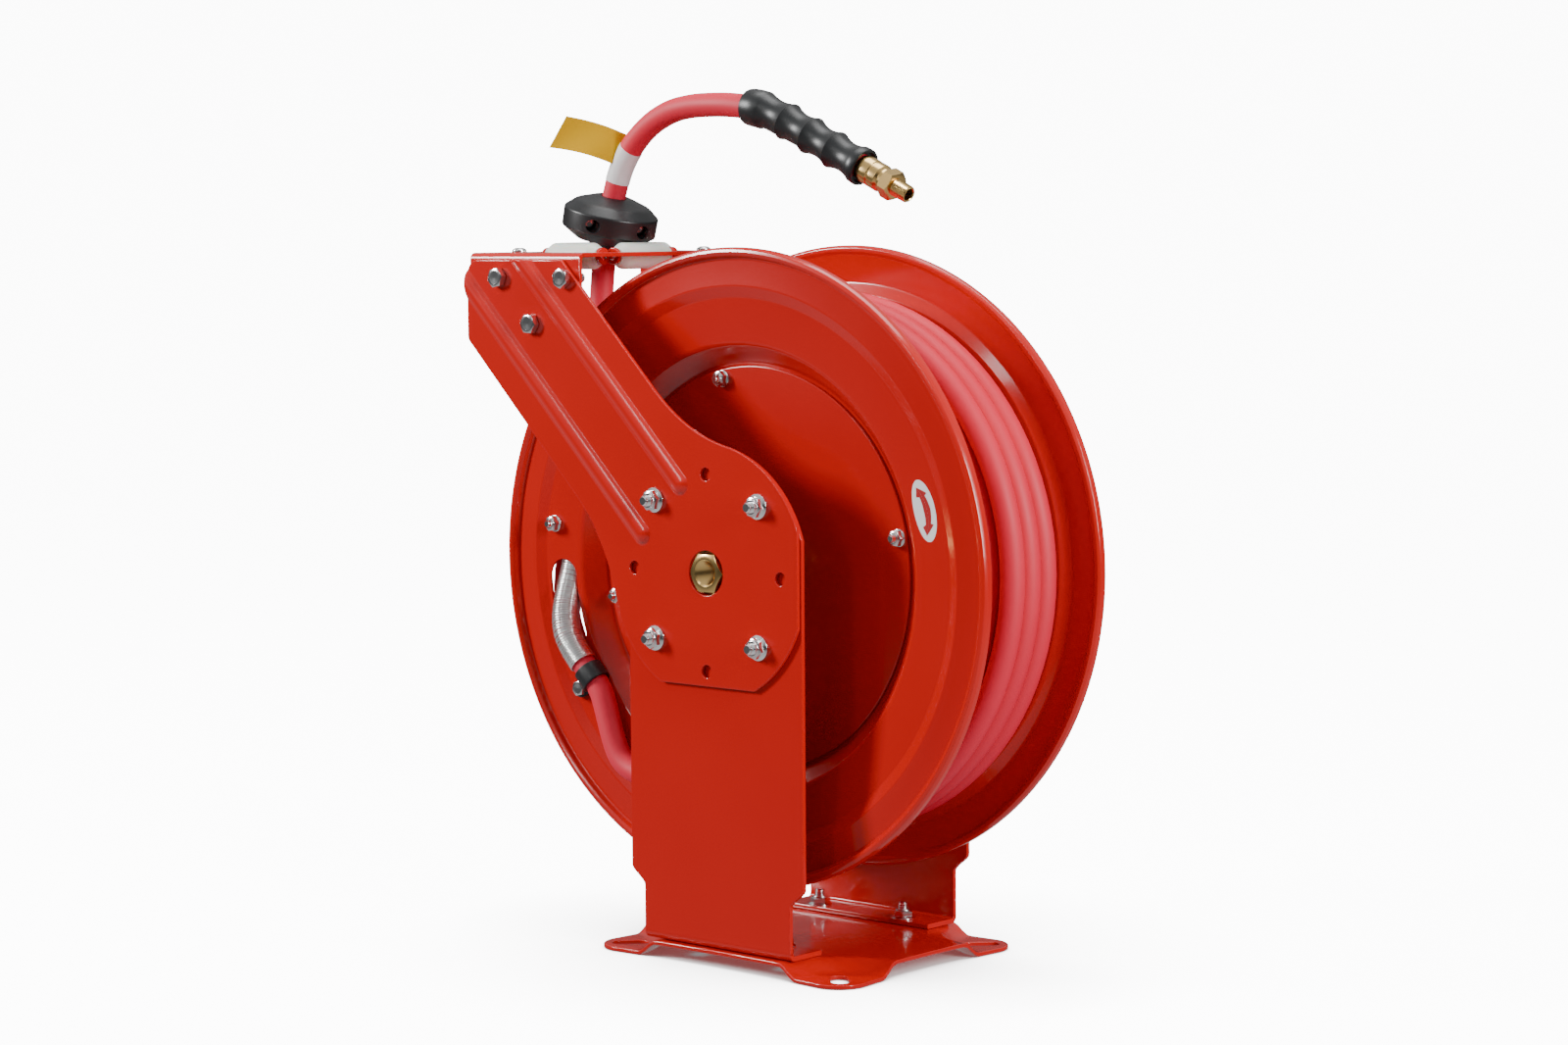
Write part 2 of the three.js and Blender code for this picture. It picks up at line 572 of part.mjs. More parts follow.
function clampBody() {
  const half = clamp.width / 2;
  const outer = hose.radius + 1 + clamp.wall;
  const ringBody = cut(rod(outer, -half, half, 14, "z"), [rod(hose.radius + 1, -half - 1, half + 1, 14, "z")]);
  const ringAround = moved(swung(ringBody, clamp.lean), lead.circle + 1, -lead.out, 0);
  const tabOut = flangeOut.bandOut + 0.4;
  const tab = block([lead.circle + 8.6, clamp.tabEnd], [-tabOut - clamp.tab, -tabOut], [-half, half]);
  const hole = moved(rod(m6.hole, -tabOut - 5, -tabOut + 5, 8), clamp.boltAt, 0, 0);
  return swung(cut(ringAround.add(tab), [hole]), clamp.angle);
}

// A screw that holds the clamp's tab down on the flange.
function clampBoltBody() {
  const seat = flangeOut.bandOut + 0.4 + clamp.tab + GAP;
  const head = hexRod(m6.flats, -seat - m6.head, -seat);
  const shank = rod(m6.shank, -seat - 1, -coilSide - 1.2, 8);
  return head.add(shank);
}

// Its hexagon fills the hub hole, and a collar behind the pedestal holds it.
function inletBody() {
  const hex = hexRod(inlet.flats, -arm.out - inlet.proud, -pedestalIn + GAP);
  const behind = -pedestalIn + GAP + inlet.collarThick;
  const body = turned(
    [
      [0, -pedestalIn + GAP], [inlet.collar, -pedestalIn + GAP], [inlet.collar, behind],
      [inlet.spigot, behind], [inlet.spigot, -outlet.in + 2], [0, -outlet.in + 2],
    ],
    20,
  );
  const bore = rod(inlet.bore, -arm.out - 20, -arm.out + inlet.depth - 8, 16);
  return cut(hex.add(body), [bore]);
}

function outletBody() {
  const ringBody = rod(outlet.radius, -outlet.out, -outlet.in, 20);
  const stub = moved(rod(outlet.stub, -lead.start + GAP, -inlet.spigot - 2, 12, "z"), 0, -lead.out, 0);
  return cut(ringBody.add(stub), [rod(inlet.spigot + axle.slip, -outlet.out - 9, -outlet.in + 9, 16)]);
}

function axleBody() {
  const nearEnd = -outlet.in + 2 + GAP;
  return turned(
    [
      [0, nearEnd], [axle.radius, nearEnd], [axle.radius, 84], [axle.shoulder, 84],
      [axle.shoulder, arm.out - GAP], [axle.thread, arm.out - GAP], [axle.thread, arm.out + 9], [0, arm.out + 9],
    ],
    20,
  );
}

// ---------------------------------------------------------------- free end of the hose
// From the drum up between the rollers, through the ball stop and over in a bend to the grip.
const tailPath = new THREE.CatmullRomCurve3([
  new THREE.Vector3(-187.2, -11.3, 0),
  new THREE.Vector3(-187.3, -11.3, 35),
  new THREE.Vector3(-188.3, -10, 80),
  new THREE.Vector3(-190, -6.4, 125),
  new THREE.Vector3(-191.2, -2.2, 165),
  new THREE.Vector3(-190.9, -0.4, 190),
  new THREE.Vector3(-189.2, 0, 210),
  new THREE.Vector3(-186.3, 0, 226),
  new THREE.Vector3(-182.3, 0, 242.5),
  new THREE.Vector3(-177.6, 0, 262),
  new THREE.Vector3(-168.6, 0, 284.5),
  new THREE.Vector3(-155.1, 0, 302.1),
  new THREE.Vector3(-137.5, 0, 315.6),
  new THREE.Vector3(-117, 0, 324.1),
  new THREE.Vector3(-98, 0, 327.2),
  new THREE.Vector3(-78, 0, 327.8),
  new THREE.Vector3(-60, 0, 327.2),
  new THREE.Vector3(-42.4, 0, 325.4),
]);

const gripPath = new THREE.CatmullRomCurve3([
  new THREE.Vector3(-41.6, 0, 325.4),
  new THREE.Vector3(-32, 0, 323.9),
  new THREE.Vector3(-21.5, 0, 321),
  new THREE.Vector3(-11, 0, 316.9),
  new THREE.Vector3(0.2, 0, 311.8),
  new THREE.Vector3(22.4, 0, 301.2),
  new THREE.Vector3(44.9, 0, 290.5),
  new THREE.Vector3(66, 0, 280.4),
]);

function gripBody() {
  const length = gripPath.getLength();
  const first = 0.13 * length;
  const pitch = (0.95 * length - first) / grip.bulges;
  const profile = [[0, 0], [grip.collar, 0], [grip.bulge - 0.8, first * 0.5], [grip.bulge - 0.8, first]];
  for (let i = 0; i < grip.bulges; i += 1) {
    const start = first + i * pitch;
    profile.push([grip.neck, start + pitch * 0.35]);
    profile.push([grip.neck, start + pitch * 0.65]);
    profile.push([grip.bulge - 0.8, start + pitch * 0.95]);
  }
  profile.push([grip.rim, length - 4], [grip.rim, length], [0, length]);
  return turnedAlong(gripPath, profile, 12);
}

function ballStopHalf(side) {
  const { radius, below, above, rimLow, rimHigh, bore } = stop;
  const profile = [
    [0, -below - 4], [bore + 3, -below - 4], [bore + 6, -below], [radius - 10, -below], [radius, rimLow],
    [radius, rimHigh], [radius - 12, above - 3.5], [bore + 6, above], [0, above],
  ];
  const puck = cut(turned(profile, 20, "z"), [rod(bore, -60, 60, 12, "z")]);
  const keep = block([-60, 60], span(side, GAP / 2, 60), [-60, 60]);
  return puck.intersect(keep);
}

function alongGripEnd(mesh, distance) {
  const end = gripPath.getPointAt(1);
  const ahead = gripPath.getTangentAt(1);
  mesh.position.copy(end).addScaledVector(ahead, distance);
  mesh.rotation.y = Math.atan2(ahead.x, ahead.z);
}

// ---------------------------------------------------------------- frame
part("base_plate", basePlate(), redPaint);
for (const { side, name } of sides) {
  part(`${name}_pedestal`, pedestalBody(side), redPaint);
  part(`${name}_guide_arm`, armBody(side), redPaint);
}
part("roller_bracket", bracketBody(), redPaint);

for (const { side, name } of sides) {
  armBoltPlaces().forEach((angle, i) => {
    const bolt = part(`${name}_arm_bolt_${i + 1}`, boltAlongY(side * (pedestalIn - GAP), side * (arm.out + GAP)), zinc);
    const [x, z] = onCircle(boltCircle.radius, angle);
    bolt.position.set(x, 0, z);
  });
  bracketBoltPlaces.forEach(([x, z], i) => {
    const bolt = boltAlongY(side * (arm.out + GAP), side * (bracketIn - GAP));
    part(`${name}_bracket_bolt_${i + 1}`, bolt, zinc).position.set(x, 0, z);
  });
  [-1, 1].forEach((end, i) => {
    const seat = base.raise - GAP;
    const nut = base.raise + SHEET + 2 * GAP + pedestal.sheet;
    const bolt = part(`${name}_base_bolt_${i + 1}`, boltAlongY(seat, nut), zinc);
    bolt.rotation.x = Math.PI / 2;
    bolt.position.set(pedestal.offset + end * baseBolt.halfX, side * baseBolt.out, floorZ);
  });
}

for (const [sign, name] of [[-1, "left"], [1, "right"]]) {
  const place = [guide.centre + sign * guide.acrossX, 0, rollerZ];
  part(`${name}_roller`, rollerBody(guide.halfY, "y"), nylon).position.set(...place);
  part(`${name}_roller_pin`, pinBody(guide.halfY, "y"), steel).position.set(...place);
}
for (const [sign, name] of [[-1, "front"], [1, "rear"]]) {
  const place = [guide.centre, sign * guide.acrossY, rollerZ];
  part(`${name}_roller`, rollerBody(guide.halfX, "x"), nylon).position.set(...place);
  part(`${name}_roller_pin`, pinBody(guide.halfX, "x"), steel).position.set(...place);
}

part("axle_shaft", axleBody(), steel);
part(
  "axle_nut",
  cut(hexRod(inlet.flats, arm.out + GAP, arm.out + GAP + inlet.nut), [
    rod(axle.thread + GAP, arm.out - 1, arm.out + 20, 20),
  ]),
  zinc,
);
part("swivel_inlet", inletBody(), brass);
part("spring_arbor", tube(spring.arbor, axle.radius + GAP, -spring.halfWidth, spring.halfWidth), steel);

// ---------------------------------------------------------------- drum
for (const { side, name } of sides) {
  const whole = turned(flangeProfile(side), AROUND, "y", true);
  part(`${name}_flange`, side < 0 ? cut(whole, [ovalTool(), clampHoleTool()]) : whole, redPaint);
  part(`${name}_drum_disc`, discBody(side), redPaint);
  part(`${name}_bush`, tube(bush.radius, axle.radius + axle.slip, ...span(side, bush.in, bush.out)), bronze);
}
part("drum_core", tube(drum.coreRadius, drum.coreRadius - drum.coreWall, -coreHalf, coreHalf, AROUND), redPaint);
part("power_spring", plateXZ(springOutline(), -spring.halfWidth, spring.halfWidth), steel);
part("ratchet_wheel", ratchetBody(), steel);
part("swivel_outlet", outletBody(), brass);
part("hose_coil", turned(coilProfile(), AROUND, "y", true), hoseRubber);

const leadLine = leadPath();
part("hose_lead", hoseAlong(leadLine, hose.radius, 28, 8).intersect(outsideDrum()), hoseRubber);
const guardLine = stretch(leadLine, shareAtAngle(leadLine, clamp.angle - 3.4), 1, 14);
const guardBody = cut(hoseAlong(guardLine, guard.outer, 10, 8), [
  hoseAlong(stretch(leadLine, 0.4, 1, 30), guard.inner, 24, 8),
]);
part("spring_guard", guardBody.intersect(outsideDrum()), zinc);
part("hose_clamp", clampBody(), blackPlastic);
const [clampX, clampZ] = onCircle(clamp.boltAt, clamp.angle);
part("clamp_bolt", clampBoltBody(), zinc).position.set(clampX, 0, clampZ);

// ---------------------------------------------------------------- pawl
const pawlShape = new THREE.Shape();
pawlShape.moveTo(pawl.length, -0.6);
pawlShape.lineTo(pawl.length - 1, 2.4);
pawlShape.lineTo(4, pawl.eye * 0.86);
pawlShape.absarc(0, 0, pawl.eye, 60 * DEG, 290 * DEG, false);
pawlShape.closePath();
const [pawlX, pawlZ] = onCircle(pawl.radius, pawl.angle);
const pawlBody = cut(plateXZ(pawlShape, ratchet.in + 0.7, ratchet.out - 0.7), [rod(pawl.bore, 60, 80, 10)]);
const pawlMesh = part("pawl", pawlBody, steel);
pawlMesh.position.set(pawlX, 0, pawlZ);
pawlMesh.rotation.y = -pawl.rest * DEG;
part(
  "pawl_pin",
  turned(
    [
      [0, 66.4], [7, 66.4], [7, ratchet.in - GAP], [pawl.pin, ratchet.in - GAP], [pawl.pin, ratchet.out + GAP],
      [7, ratchet.out + GAP], [7, pedestalIn - GAP], [pawl.pin, pedestalIn - GAP],
      [pawl.pin, pedestalOut - GAP], [0, pedestalOut - GAP],
    ],
    12,
  ),
  zinc,
).position.set(pawlX, 0, pawlZ);

// ---------------------------------------------------------------- free end
part("hose_tail", hoseAlong(tailPath, hose.radius, 26, 8), hoseRubber);
for (const { side, name } of sides) {
  const half = part(`${name}_ball_stop`, ballStopHalf(side), blackPlastic);
  half.position.set(stop.x, 0, stop.z);
  half.rotation.y = stopTurn.tilt * DEG;
  half.rotateZ(stopTurn.split * DEG);
}
part("hose_grip", gripBody(), blackPlastic);
alongGripEnd(part("hose_ferrule", rod(fitting.ferrule, 0, fitting.ferruleLength, 14, "z"), brass), GAP);

function fittingBody() {
  const hex = hexRod(fitting.flats, 0, fitting.hexLength, "z");
  const thread = rod(fitting.thread, fitting.hexLength - 1, fitting.hexLength + fitting.threadLength, 12, "z");
  return cut(hex.add(thread), [rod(fitting.bore, 4, fitting.hexLength + fitting.threadLength + 1, 10, "z")]);
}
alongGripEnd(part("hose_fitting", fittingBody(), brass), fitting.ferruleLength + 2 * GAP);

export default reel;
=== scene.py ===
"""The looks of a spring-rewind air hose reel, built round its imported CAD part.

Lengths in the helpers are millimetres in the hub's frame: the origin is the middle of the drum, X runs away
from the guide arms, Y is the drum's axis and Z is up. place() turns them into the row frame in metres.
"""
import json
import math

import bmesh
import bpy
from mathutils import Matrix, Vector


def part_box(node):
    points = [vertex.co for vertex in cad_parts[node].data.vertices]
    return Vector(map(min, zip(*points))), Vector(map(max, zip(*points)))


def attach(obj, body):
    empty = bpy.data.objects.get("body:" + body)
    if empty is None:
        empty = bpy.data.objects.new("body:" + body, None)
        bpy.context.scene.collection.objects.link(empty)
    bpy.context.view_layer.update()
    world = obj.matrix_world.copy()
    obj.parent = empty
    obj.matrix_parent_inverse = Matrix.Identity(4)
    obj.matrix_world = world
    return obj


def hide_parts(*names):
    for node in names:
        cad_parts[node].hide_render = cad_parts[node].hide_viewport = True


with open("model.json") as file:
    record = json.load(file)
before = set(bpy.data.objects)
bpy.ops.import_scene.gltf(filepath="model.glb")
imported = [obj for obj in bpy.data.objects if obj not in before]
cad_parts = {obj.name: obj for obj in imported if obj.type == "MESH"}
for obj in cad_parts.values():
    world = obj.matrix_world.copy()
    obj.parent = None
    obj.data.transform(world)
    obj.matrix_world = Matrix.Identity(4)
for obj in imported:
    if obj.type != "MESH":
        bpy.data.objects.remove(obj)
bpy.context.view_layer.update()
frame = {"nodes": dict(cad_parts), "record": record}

scene = bpy.context.scene
DEG = math.pi / 180

core_low, core_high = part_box("drum_core")
HUB = (core_low + core_high) / 2
FLOOR = -HUB.z * 1000


def place(x, y, z):
    return Vector((HUB.x + x / 1000, HUB.y + y / 1000, HUB.z + z / 1000))


def local(point):
    """A row-frame point in metres as hub millimetres."""
    return (Vector(point) - HUB) * 1000


def node_box(node):
    low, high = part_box(node)
    return local(low), local(high)


def node_centre(node):
    low, high = node_box(node)
    return (low + high) / 2


def linked(name, data):
    """A new object in the scene."""
    obj = bpy.data.objects.new(name, data)
    scene.collection.objects.link(obj)
    return obj


def reshaped(mesh, change):
    """Runs change(bm) on the mesh's editable form and stores the result."""
    bm = bmesh.new()
    bm.from_mesh(mesh)
    change(bm)
    bm.to_mesh(mesh)
    bm.free()


def set_inputs(node, **values):
    """Sets a shader node's inputs by name, with underscores for spaces."""
    for key, value in values.items():
        node.inputs[key.replace("_", " ")].default_value = value


# ---------------------------------------------------------------- materials
def shader(name, color, roughness, metallic=0.0, coat=0.0, grain=400.0, relief=0.02, vary=0.06, **more):
    """A principled surface whose roughness and colour wander a little and whose skin has a fine grain."""
    material = bpy.data.materials.new(name)
    material.use_nodes = True
    nodes = material.node_tree.nodes
    links = material.node_tree.links
    surface = nodes["Principled BSDF"]
    set_inputs(surface, Metallic=metallic, Coat_Weight=coat, Coat_Roughness=0.06, **more)
    where = nodes.new("ShaderNodeTexCoord")
    cloud = nodes.new("ShaderNodeTexNoise")
    set_inputs(cloud, Scale=14.0, Detail=5.0)
    links.new(where.outputs["Object"], cloud.inputs["Vector"])
    rough = nodes.new("ShaderNodeMapRange")
    set_inputs(rough, To_Min=roughness * (1 - 3 * vary), To_Max=roughness * (1 + 3 * vary))
    links.new(cloud.outputs["Fac"], rough.inputs["Value"])
    links.new(rough.outputs["Result"], surface.inputs["Roughness"])
    tone = nodes.new("ShaderNodeMix")
    tone.data_type = "RGBA"
    tone.inputs["A"].default_value = tuple(c * (1 - vary) for c in color) + (1,)
    tone.inputs["B"].default_value = tuple(min(1, c * (1 + vary)) for c in color) + (1,)
    links.new(cloud.outputs["Fac"], tone.inputs["Factor"])
    links.new(tone.outputs["Result"], surface.inputs["Base Color"])
    fine = nodes.new("ShaderNodeTexNoise")
    set_inputs(fine, Scale=grain, Detail=3.0)
    links.new(where.outputs["Object"], fine.inputs["Vector"])
    bump = nodes.new("ShaderNodeBump")
    set_inputs(bump, Strength=1.0, Distance=relief / 1000)
    links.new(fine.outputs["Fac"], bump.inputs["Height"])
    links.new(bump.outputs["Normal"], surface.inputs["Normal"])
    return material


PAINT = shader("red_paint", (0.56, 0.009, 0.006), 0.17, coat=0.2, grain=260, relief=0.02, vary=0.04)
ZINC = shader("zinc", (0.86, 0.87, 0.88), 0.16, metallic=1.0, grain=900, relief=0.01, vary=0.08)
WIRE = shader("spring_wire", (0.86, 0.86, 0.85), 0.25, metallic=1.0, grain=1500, relief=0.01)
STEEL = shader("bare_steel", (0.42, 0.42, 0.43), 0.38, metallic=1.0, grain=700, relief=0.02, vary=0.1)
BRASS = shader("brass", (0.78, 0.52, 0.20), 0.22, metallic=1.0, grain=900, relief=0.008, vary=0.06)
BRONZE = shader("bronze", (0.45, 0.26, 0.12), 0.45, metallic=1.0, grain=700, relief=0.02)
RUBBER = shader("hose_rubber", (0.72, 0.014, 0.045), 0.60, grain=1400, relief=0.05, vary=0.07)
BLACK = shader("black_plastic", (0.009, 0.010, 0.011), 0.38, grain=1100, relief=0.04, vary=0.05)
NYLON = shader("nylon", (0.80, 0.78, 0.70), 0.42, grain=300, relief=0.02, Subsurface_Weight=0.3)
WHITE = shader("label_white", (0.86, 0.86, 0.86), 0.40, grain=500, relief=0.01, vary=0.02)
YELLOW = shader("tag_yellow", (0.62, 0.34, 0.0), 0.7, grain=500, vary=0.03, Specular_IOR_Level=0.15)
ARROW = shader("arrow_red", (0.45, 0.006, 0.008), 0.38, grain=500, relief=0.01)
# Near-black material used only for painted shade: the dark disc deep in the hose fitting's bore.
SHADE = shader("painted_bore_shade", (0.02, 0.02, 0.02), 0.5, metallic=0.6, grain=500, relief=0.02)

SLOTS = {
    "red_paint": PAINT,
    "zinc_steel": ZINC,
    "bare_steel": STEEL,
    "brass": BRASS,
    "bronze": BRONZE,
    "hose_rubber": RUBBER,
    "black_plastic": BLACK,
    "nylon": NYLON,
}
slot_of = {entry["node"]: entry["material_slot"] for entry in frame["record"]["subparts"]}
for node, obj in frame["nodes"].items():
    obj.data.materials.clear()
    obj.data.materials.append(SLOTS[slot_of[node]])


# ---------------------------------------------------------------- mesh helpers
def finish_mesh(obj, material, body, nodes=(), sharp=38, weighted=False):
    """Smooth shading with sharp edges kept, the material, and the CAD body it moves with."""
    def shade(bm):
        bmesh.ops.recalc_face_normals(bm, faces=bm.faces)
        for edge in bm.edges:
            edge.smooth = not (len(edge.link_faces) == 2 and edge.calc_face_angle(0) > sharp * DEG)
        for face in bm.faces:
            face.smooth = True

    reshaped(obj.data, shade)
    obj.data.materials.clear()
    obj.data.materials.append(material)
    if weighted:
        modifier = obj.modifiers.new("even", "WEIGHTED_NORMAL")
        modifier.keep_sharp = True
        modifier.weight = 100
    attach(obj, body)
    if nodes:
        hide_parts(*nodes)
    return obj


def raw_mesh(name, points, faces):
    mesh = bpy.data.meshes.new(name)
    mesh.from_pydata([tuple(place(*p)) for p in points], [], faces)
    return linked(name, mesh)


def ring_faces(rings, size, closed=False):
    """Faces between neighbouring rings of size points; closed joins the last ring to the first."""
    faces = []
    for k in range(rings if closed else rings - 1):
        n = (k + 1) % rings
        for i in range(size):
            j = (i + 1) % size
            faces.append((k * size + i, k * size + j, n * size + j, n * size + i))
    return faces


def prism(name, base, top):
    """A closed body between two loops of as many points."""
    count = len(base)
    faces = [tuple(range(count)), tuple(reversed(range(count, 2 * count)))] + ring_faces(2, count)
    return raw_mesh(name, base + top, faces)


def rounded(corners, steps=5):
    """Corners as (a, b) or (a, b, fillet); returns the closed outline with its fillets."""
    out = []
    count = len(corners)
    for i, corner in enumerate(corners):
        here = Vector(corner[:2])
        radius = corner[2] if len(corner) > 2 else 0
        if radius <= 0:
            out.append(tuple(here))
            continue
        back = Vector(corners[i - 1][:2]) - here
        ahead = Vector(corners[(i + 1) % count][:2]) - here
        angle = back.angle(ahead)
        reach = min(radius / math.tan(angle / 2), back.length * 0.48, ahead.length * 0.48)
        a = here + back.normalized() * reach
        b = here + ahead.normalized() * reach
        for k in range(steps + 1):
            t = k / steps
            out.append(tuple(a * (1 - t) ** 2 + here * 2 * t * (1 - t) + b * t * t))
    return out


AXES = {
    "x": (Vector((1, 0, 0)), Vector((0, 1, 0)), Vector((0, 0, 1))),
    "y": (Vector((0, 1, 0)), Vector((1, 0, 0)), Vector((0, 0, 1))),
    "z": (Vector((0, 0, 1)), Vector((1, 0, 0)), Vector((0, 1, 0))),
}


def axes_along(direction):
    """An axis and two vectors square to it."""
    axis = Vector(direction).normalized()
    side = Vector((0, 1, 0)) if abs(axis.y) < 0.9 else Vector((1, 0, 0))
    first = (side - axis * side.dot(axis)).normalized()
    return axis, first, axis.cross(first)


def lathe(name, profile, centre, axis="y", segments=48, sweep=(0.0, 360.0), limit=None):
    """A closed outline of (radius, height) turned about an axis; limit(angle) caps the radius, for flats."""
    way, first, second = AXES[axis] if isinstance(axis, str) else axes_along(axis)
    full = abs(sweep[1] - sweep[0]) >= 359.99
    rings = segments if full else segments + 1
    centre = Vector(centre)
    points = []
    for i in range(rings):
        angle = (sweep[0] + (sweep[1] - sweep[0]) * i / segments) * DEG
        out = first * math.cos(angle) + second * math.sin(angle)
        for radius, height in profile:
            reach = radius if limit is None else min(radius, limit(angle, height))
            points.append(centre + out * reach + way * height)
    size = len(profile)
    faces = ring_faces(rings, size, full)
    if not full:
        faces.append(tuple(range(size)))
        faces.append(tuple(reversed(range((rings - 1) * size, rings * size))))
    obj = raw_mesh(name, points, faces)

    def clean(bm):
        bmesh.ops.remove_doubles(bm, verts=bm.verts, dist=1e-7)
        bmesh.ops.dissolve_degenerate(bm, edges=bm.edges, dist=1e-8)

    reshaped(obj.data, clean)
    return obj


def hexagon(flats, turn=0.0):
    """The radius of a hexagon's outline at an angle."""
    def reach(angle, height):
        wedge = (angle - turn * DEG) % (60 * DEG) - 30 * DEG
        return flats / 2 / math.cos(wedge)
    return reach


def with_outward_faces(obj):
    reshaped(obj.data, lambda bm: bmesh.ops.recalc_face_normals(bm, faces=bm.faces))
    return obj


def hex_prism(centre, axis, flats, low, high, turn=0.0, hole=0.01, chamfer_low=True, chamfer_high=True):
    """A hexagon along an axis whose corners are turned off at its ends, as a nut's are."""
    way, first, second = axes_along(axis)
    centre = Vector(centre)
    reach = hexagon(flats, turn)
    face = flats * 0.48
    points = []
    count = 96
    for i in range(count):
        angle = 2 * math.pi * (i + turn / 3.75) / count
        out = first * math.cos(angle) + second * math.sin(angle)
        edge = reach(angle, 0)
        drop = (edge - face) * 0.55
        foot, foot_rise = (face, drop) if chamfer_low else (edge, 0.01)
        head, head_drop = (face, drop) if chamfer_high else (edge, 0.01)
        ring = [(hole, low), (foot, low), (edge, low + foot_rise)]
        ring += [(edge, high - head_drop), (head, high), (hole, high)]
        points += [centre + out * radius + way * height for radius, height in ring]
    return with_outward_faces(raw_mesh("hexagon", points, ring_faces(count, 6, True)))


def hex_nut(centre, axis, flats, height, turn=0.0, hole=0.01):
    return hex_prism(centre, axis, flats, 0, height, turn, hole)


def outline_plate(name, outline, holes, low, high, plane, bevel=0.5):
    """A flat sheet from an outline and its holes, with rounded edges; plane is "xz" or "xy"."""
    curve = bpy.data.curves.new(name, "CURVE")
    curve.dimensions = "2D"
    curve.fill_mode = "BOTH"
    for loop in [outline] + list(holes):
        spline = curve.splines.new("POLY")
        spline.points.add(len(loop) - 1)
        for point, (u, v) in zip(spline.points, loop):
            point.co = (u, v, 0, 1)
        spline.use_cyclic_u = True
    curve.extrude = (high - low) / 2 - bevel
    curve.bevel_depth = bevel
    curve.bevel_resolution = 2
    curve.offset = -bevel
    carrier = linked(name, curve)
    bpy.context.view_layer.update()
    mesh = bpy.data.meshes.new_from_object(carrier.evaluated_get(bpy.context.evaluated_depsgraph_get()))
    bpy.data.objects.remove(carrier)
    bpy.data.curves.remove(curve)
    middle = (low + high) / 2
    for vertex in mesh.vertices:
        u, v, w = vertex.co
        vertex.co = place(u, middle + w, v) if plane == "xz" else place(u, v, middle + w)
    reshaped(mesh, lambda bm: bmesh.ops.remove_doubles(bm, verts=bm.verts, dist=1e-6))
    mesh.name = name
    return linked(name, mesh)


def sliced(obj, planes):
    """Cuts the mesh's faces along planes of (point in mm, normal), so that it can bend there."""
    def slice_up(bm):
        for point, normal in planes:
            everything = bm.verts[:] + bm.edges[:] + bm.faces[:]
            bmesh.ops.bisect_plane(bm, geom=everything, plane_co=place(*point), plane_no=normal, dist=1e-7)

    reshaped(obj.data, slice_up)
    return obj


def bent(obj, change):
    """Moves every vertex by what change(point in mm) says, in mm."""
    for vertex in obj.data.vertices:
        vertex.co = vertex.co + change(local(vertex.co)) / 1000
    return obj


def cut_with(obj, cutters):
    for cutter in cutters:
        modifier = obj.modifiers.new("cut", "BOOLEAN")
        modifier.operation = "DIFFERENCE"
        modifier.solver = "EXACT"
        modifier.object = cutter
        bpy.context.view_layer.update()
        done = bpy.data.meshes.new_from_object(obj.evaluated_get(bpy.context.evaluated_depsgraph_get()))
        obj.modifiers.clear()
        obj.data = done
    for cutter in cutters:
        bpy.data.objects.remove(cutter)
    return obj


def merged(name, objects):
    """Several meshes as one object."""
    bm = bmesh.new()
    for obj in objects:
        bm.from_mesh(obj.data)
        bpy.data.objects.remove(obj)
    mesh = bpy.data.meshes.new(name)
    bm.to_mesh(mesh)
    bm.free()
    return linked(name, mesh)


def arc(centre, radius, start, end, steps):
    turns = [start + (end - start) * i / steps for i in range(steps + 1)]
    return [(centre[0] + radius * math.cos(a * DEG), centre[1] + radius * math.sin(a * DEG)) for a in turns]


def quad(a, b, c, steps=12):
    out = []
    for i in range(1, steps):
        t = i / steps
        out.append(tuple(a[k] * (1 - t) ** 2 + 2 * b[k] * t * (1 - t) + c[k] * t * t for k in (0, 1)))
    return out


def circle(x, y, radius, steps=28):
    return arc((x, y), radius, 0, 360 * (1 - 1 / steps), steps - 1)


def polar(radius, angle):
    return radius * math.cos(angle * DEG), radius * math.sin(angle * DEG)


def smooth_path(points, step=3.0):
    """A smooth line through the points, sampled about every step millimetres."""
    points = [Vector(p) for p in points]
    ends = [points[0] * 2 - points[1]] + points + [points[-1] * 2 - points[-2]]
    out = []
    for i in range(1, len(ends) - 2):
        p = ends[i - 1 : i + 3]
        t = [0.0]
        for k in range(3):
            t.append(t[-1] + max(1e-6, (p[k + 1] - p[k]).length) ** 0.5)
        count = max(1, round((p[2] - p[1]).length / step))
        for j in range(count):
            s = t[1] + (t[2] - t[1]) * j / count
            a = [p[k].lerp(p[k + 1], (s - t[k]) / (t[k + 1] - t[k])) for k in range(3)]
            b = [a[k].lerp(a[k + 1], (s - t[k]) / (t[k + 2] - t[k])) for k in range(2)]
            out.append(b[0].lerp(b[1], (s - t[1]) / (t[2] - t[1])))
    out.append(points[-1])
    return out


def running(points):
    """How far along a line each of its points lies."""
    run = [0.0]
    for a, b in zip(points, points[1:]):
        run.append(run[-1] + (b - a).length)
    return run


def line_length(points):
    return sum((b - a).length for a, b in zip(points, points[1:]))


def stretch(points, start, end):
    """The part of a sampled line between two distances along it."""
    out, run = [], 0.0
    for a, b in zip(points, points[1:]):
        length = (b - a).length
        if length < 1e-9:
            continue
        if run + length >= start and not out:
            out.append(a.lerp(b, max(0, (start - run) / length)))
        if out and run + length < end:
            out.append(b)
        if run + length >= end:
            out.append(a.lerp(b, (end - run) / length))
            break
        run += length
    return out


def tube_curve(name, points, radius, material, body, resolution=5):
    curve = bpy.data.curves.new(name, "CURVE")
    curve.dimensions = "3D"
    spline = curve.splines.new("POLY")
    spline.points.add(len(points) - 1)
    for target, point in zip(spline.points, points):
        target.co = tuple(place(*point)) + (1,)
    spline.use_smooth = True
    curve.bevel_depth = radius / 1000
    curve.bevel_resolution = resolution
    curve.use_fill_caps = True
    curve.materials.append(material)
    obj = linked(name, curve)
    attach(obj, body)
    return obj


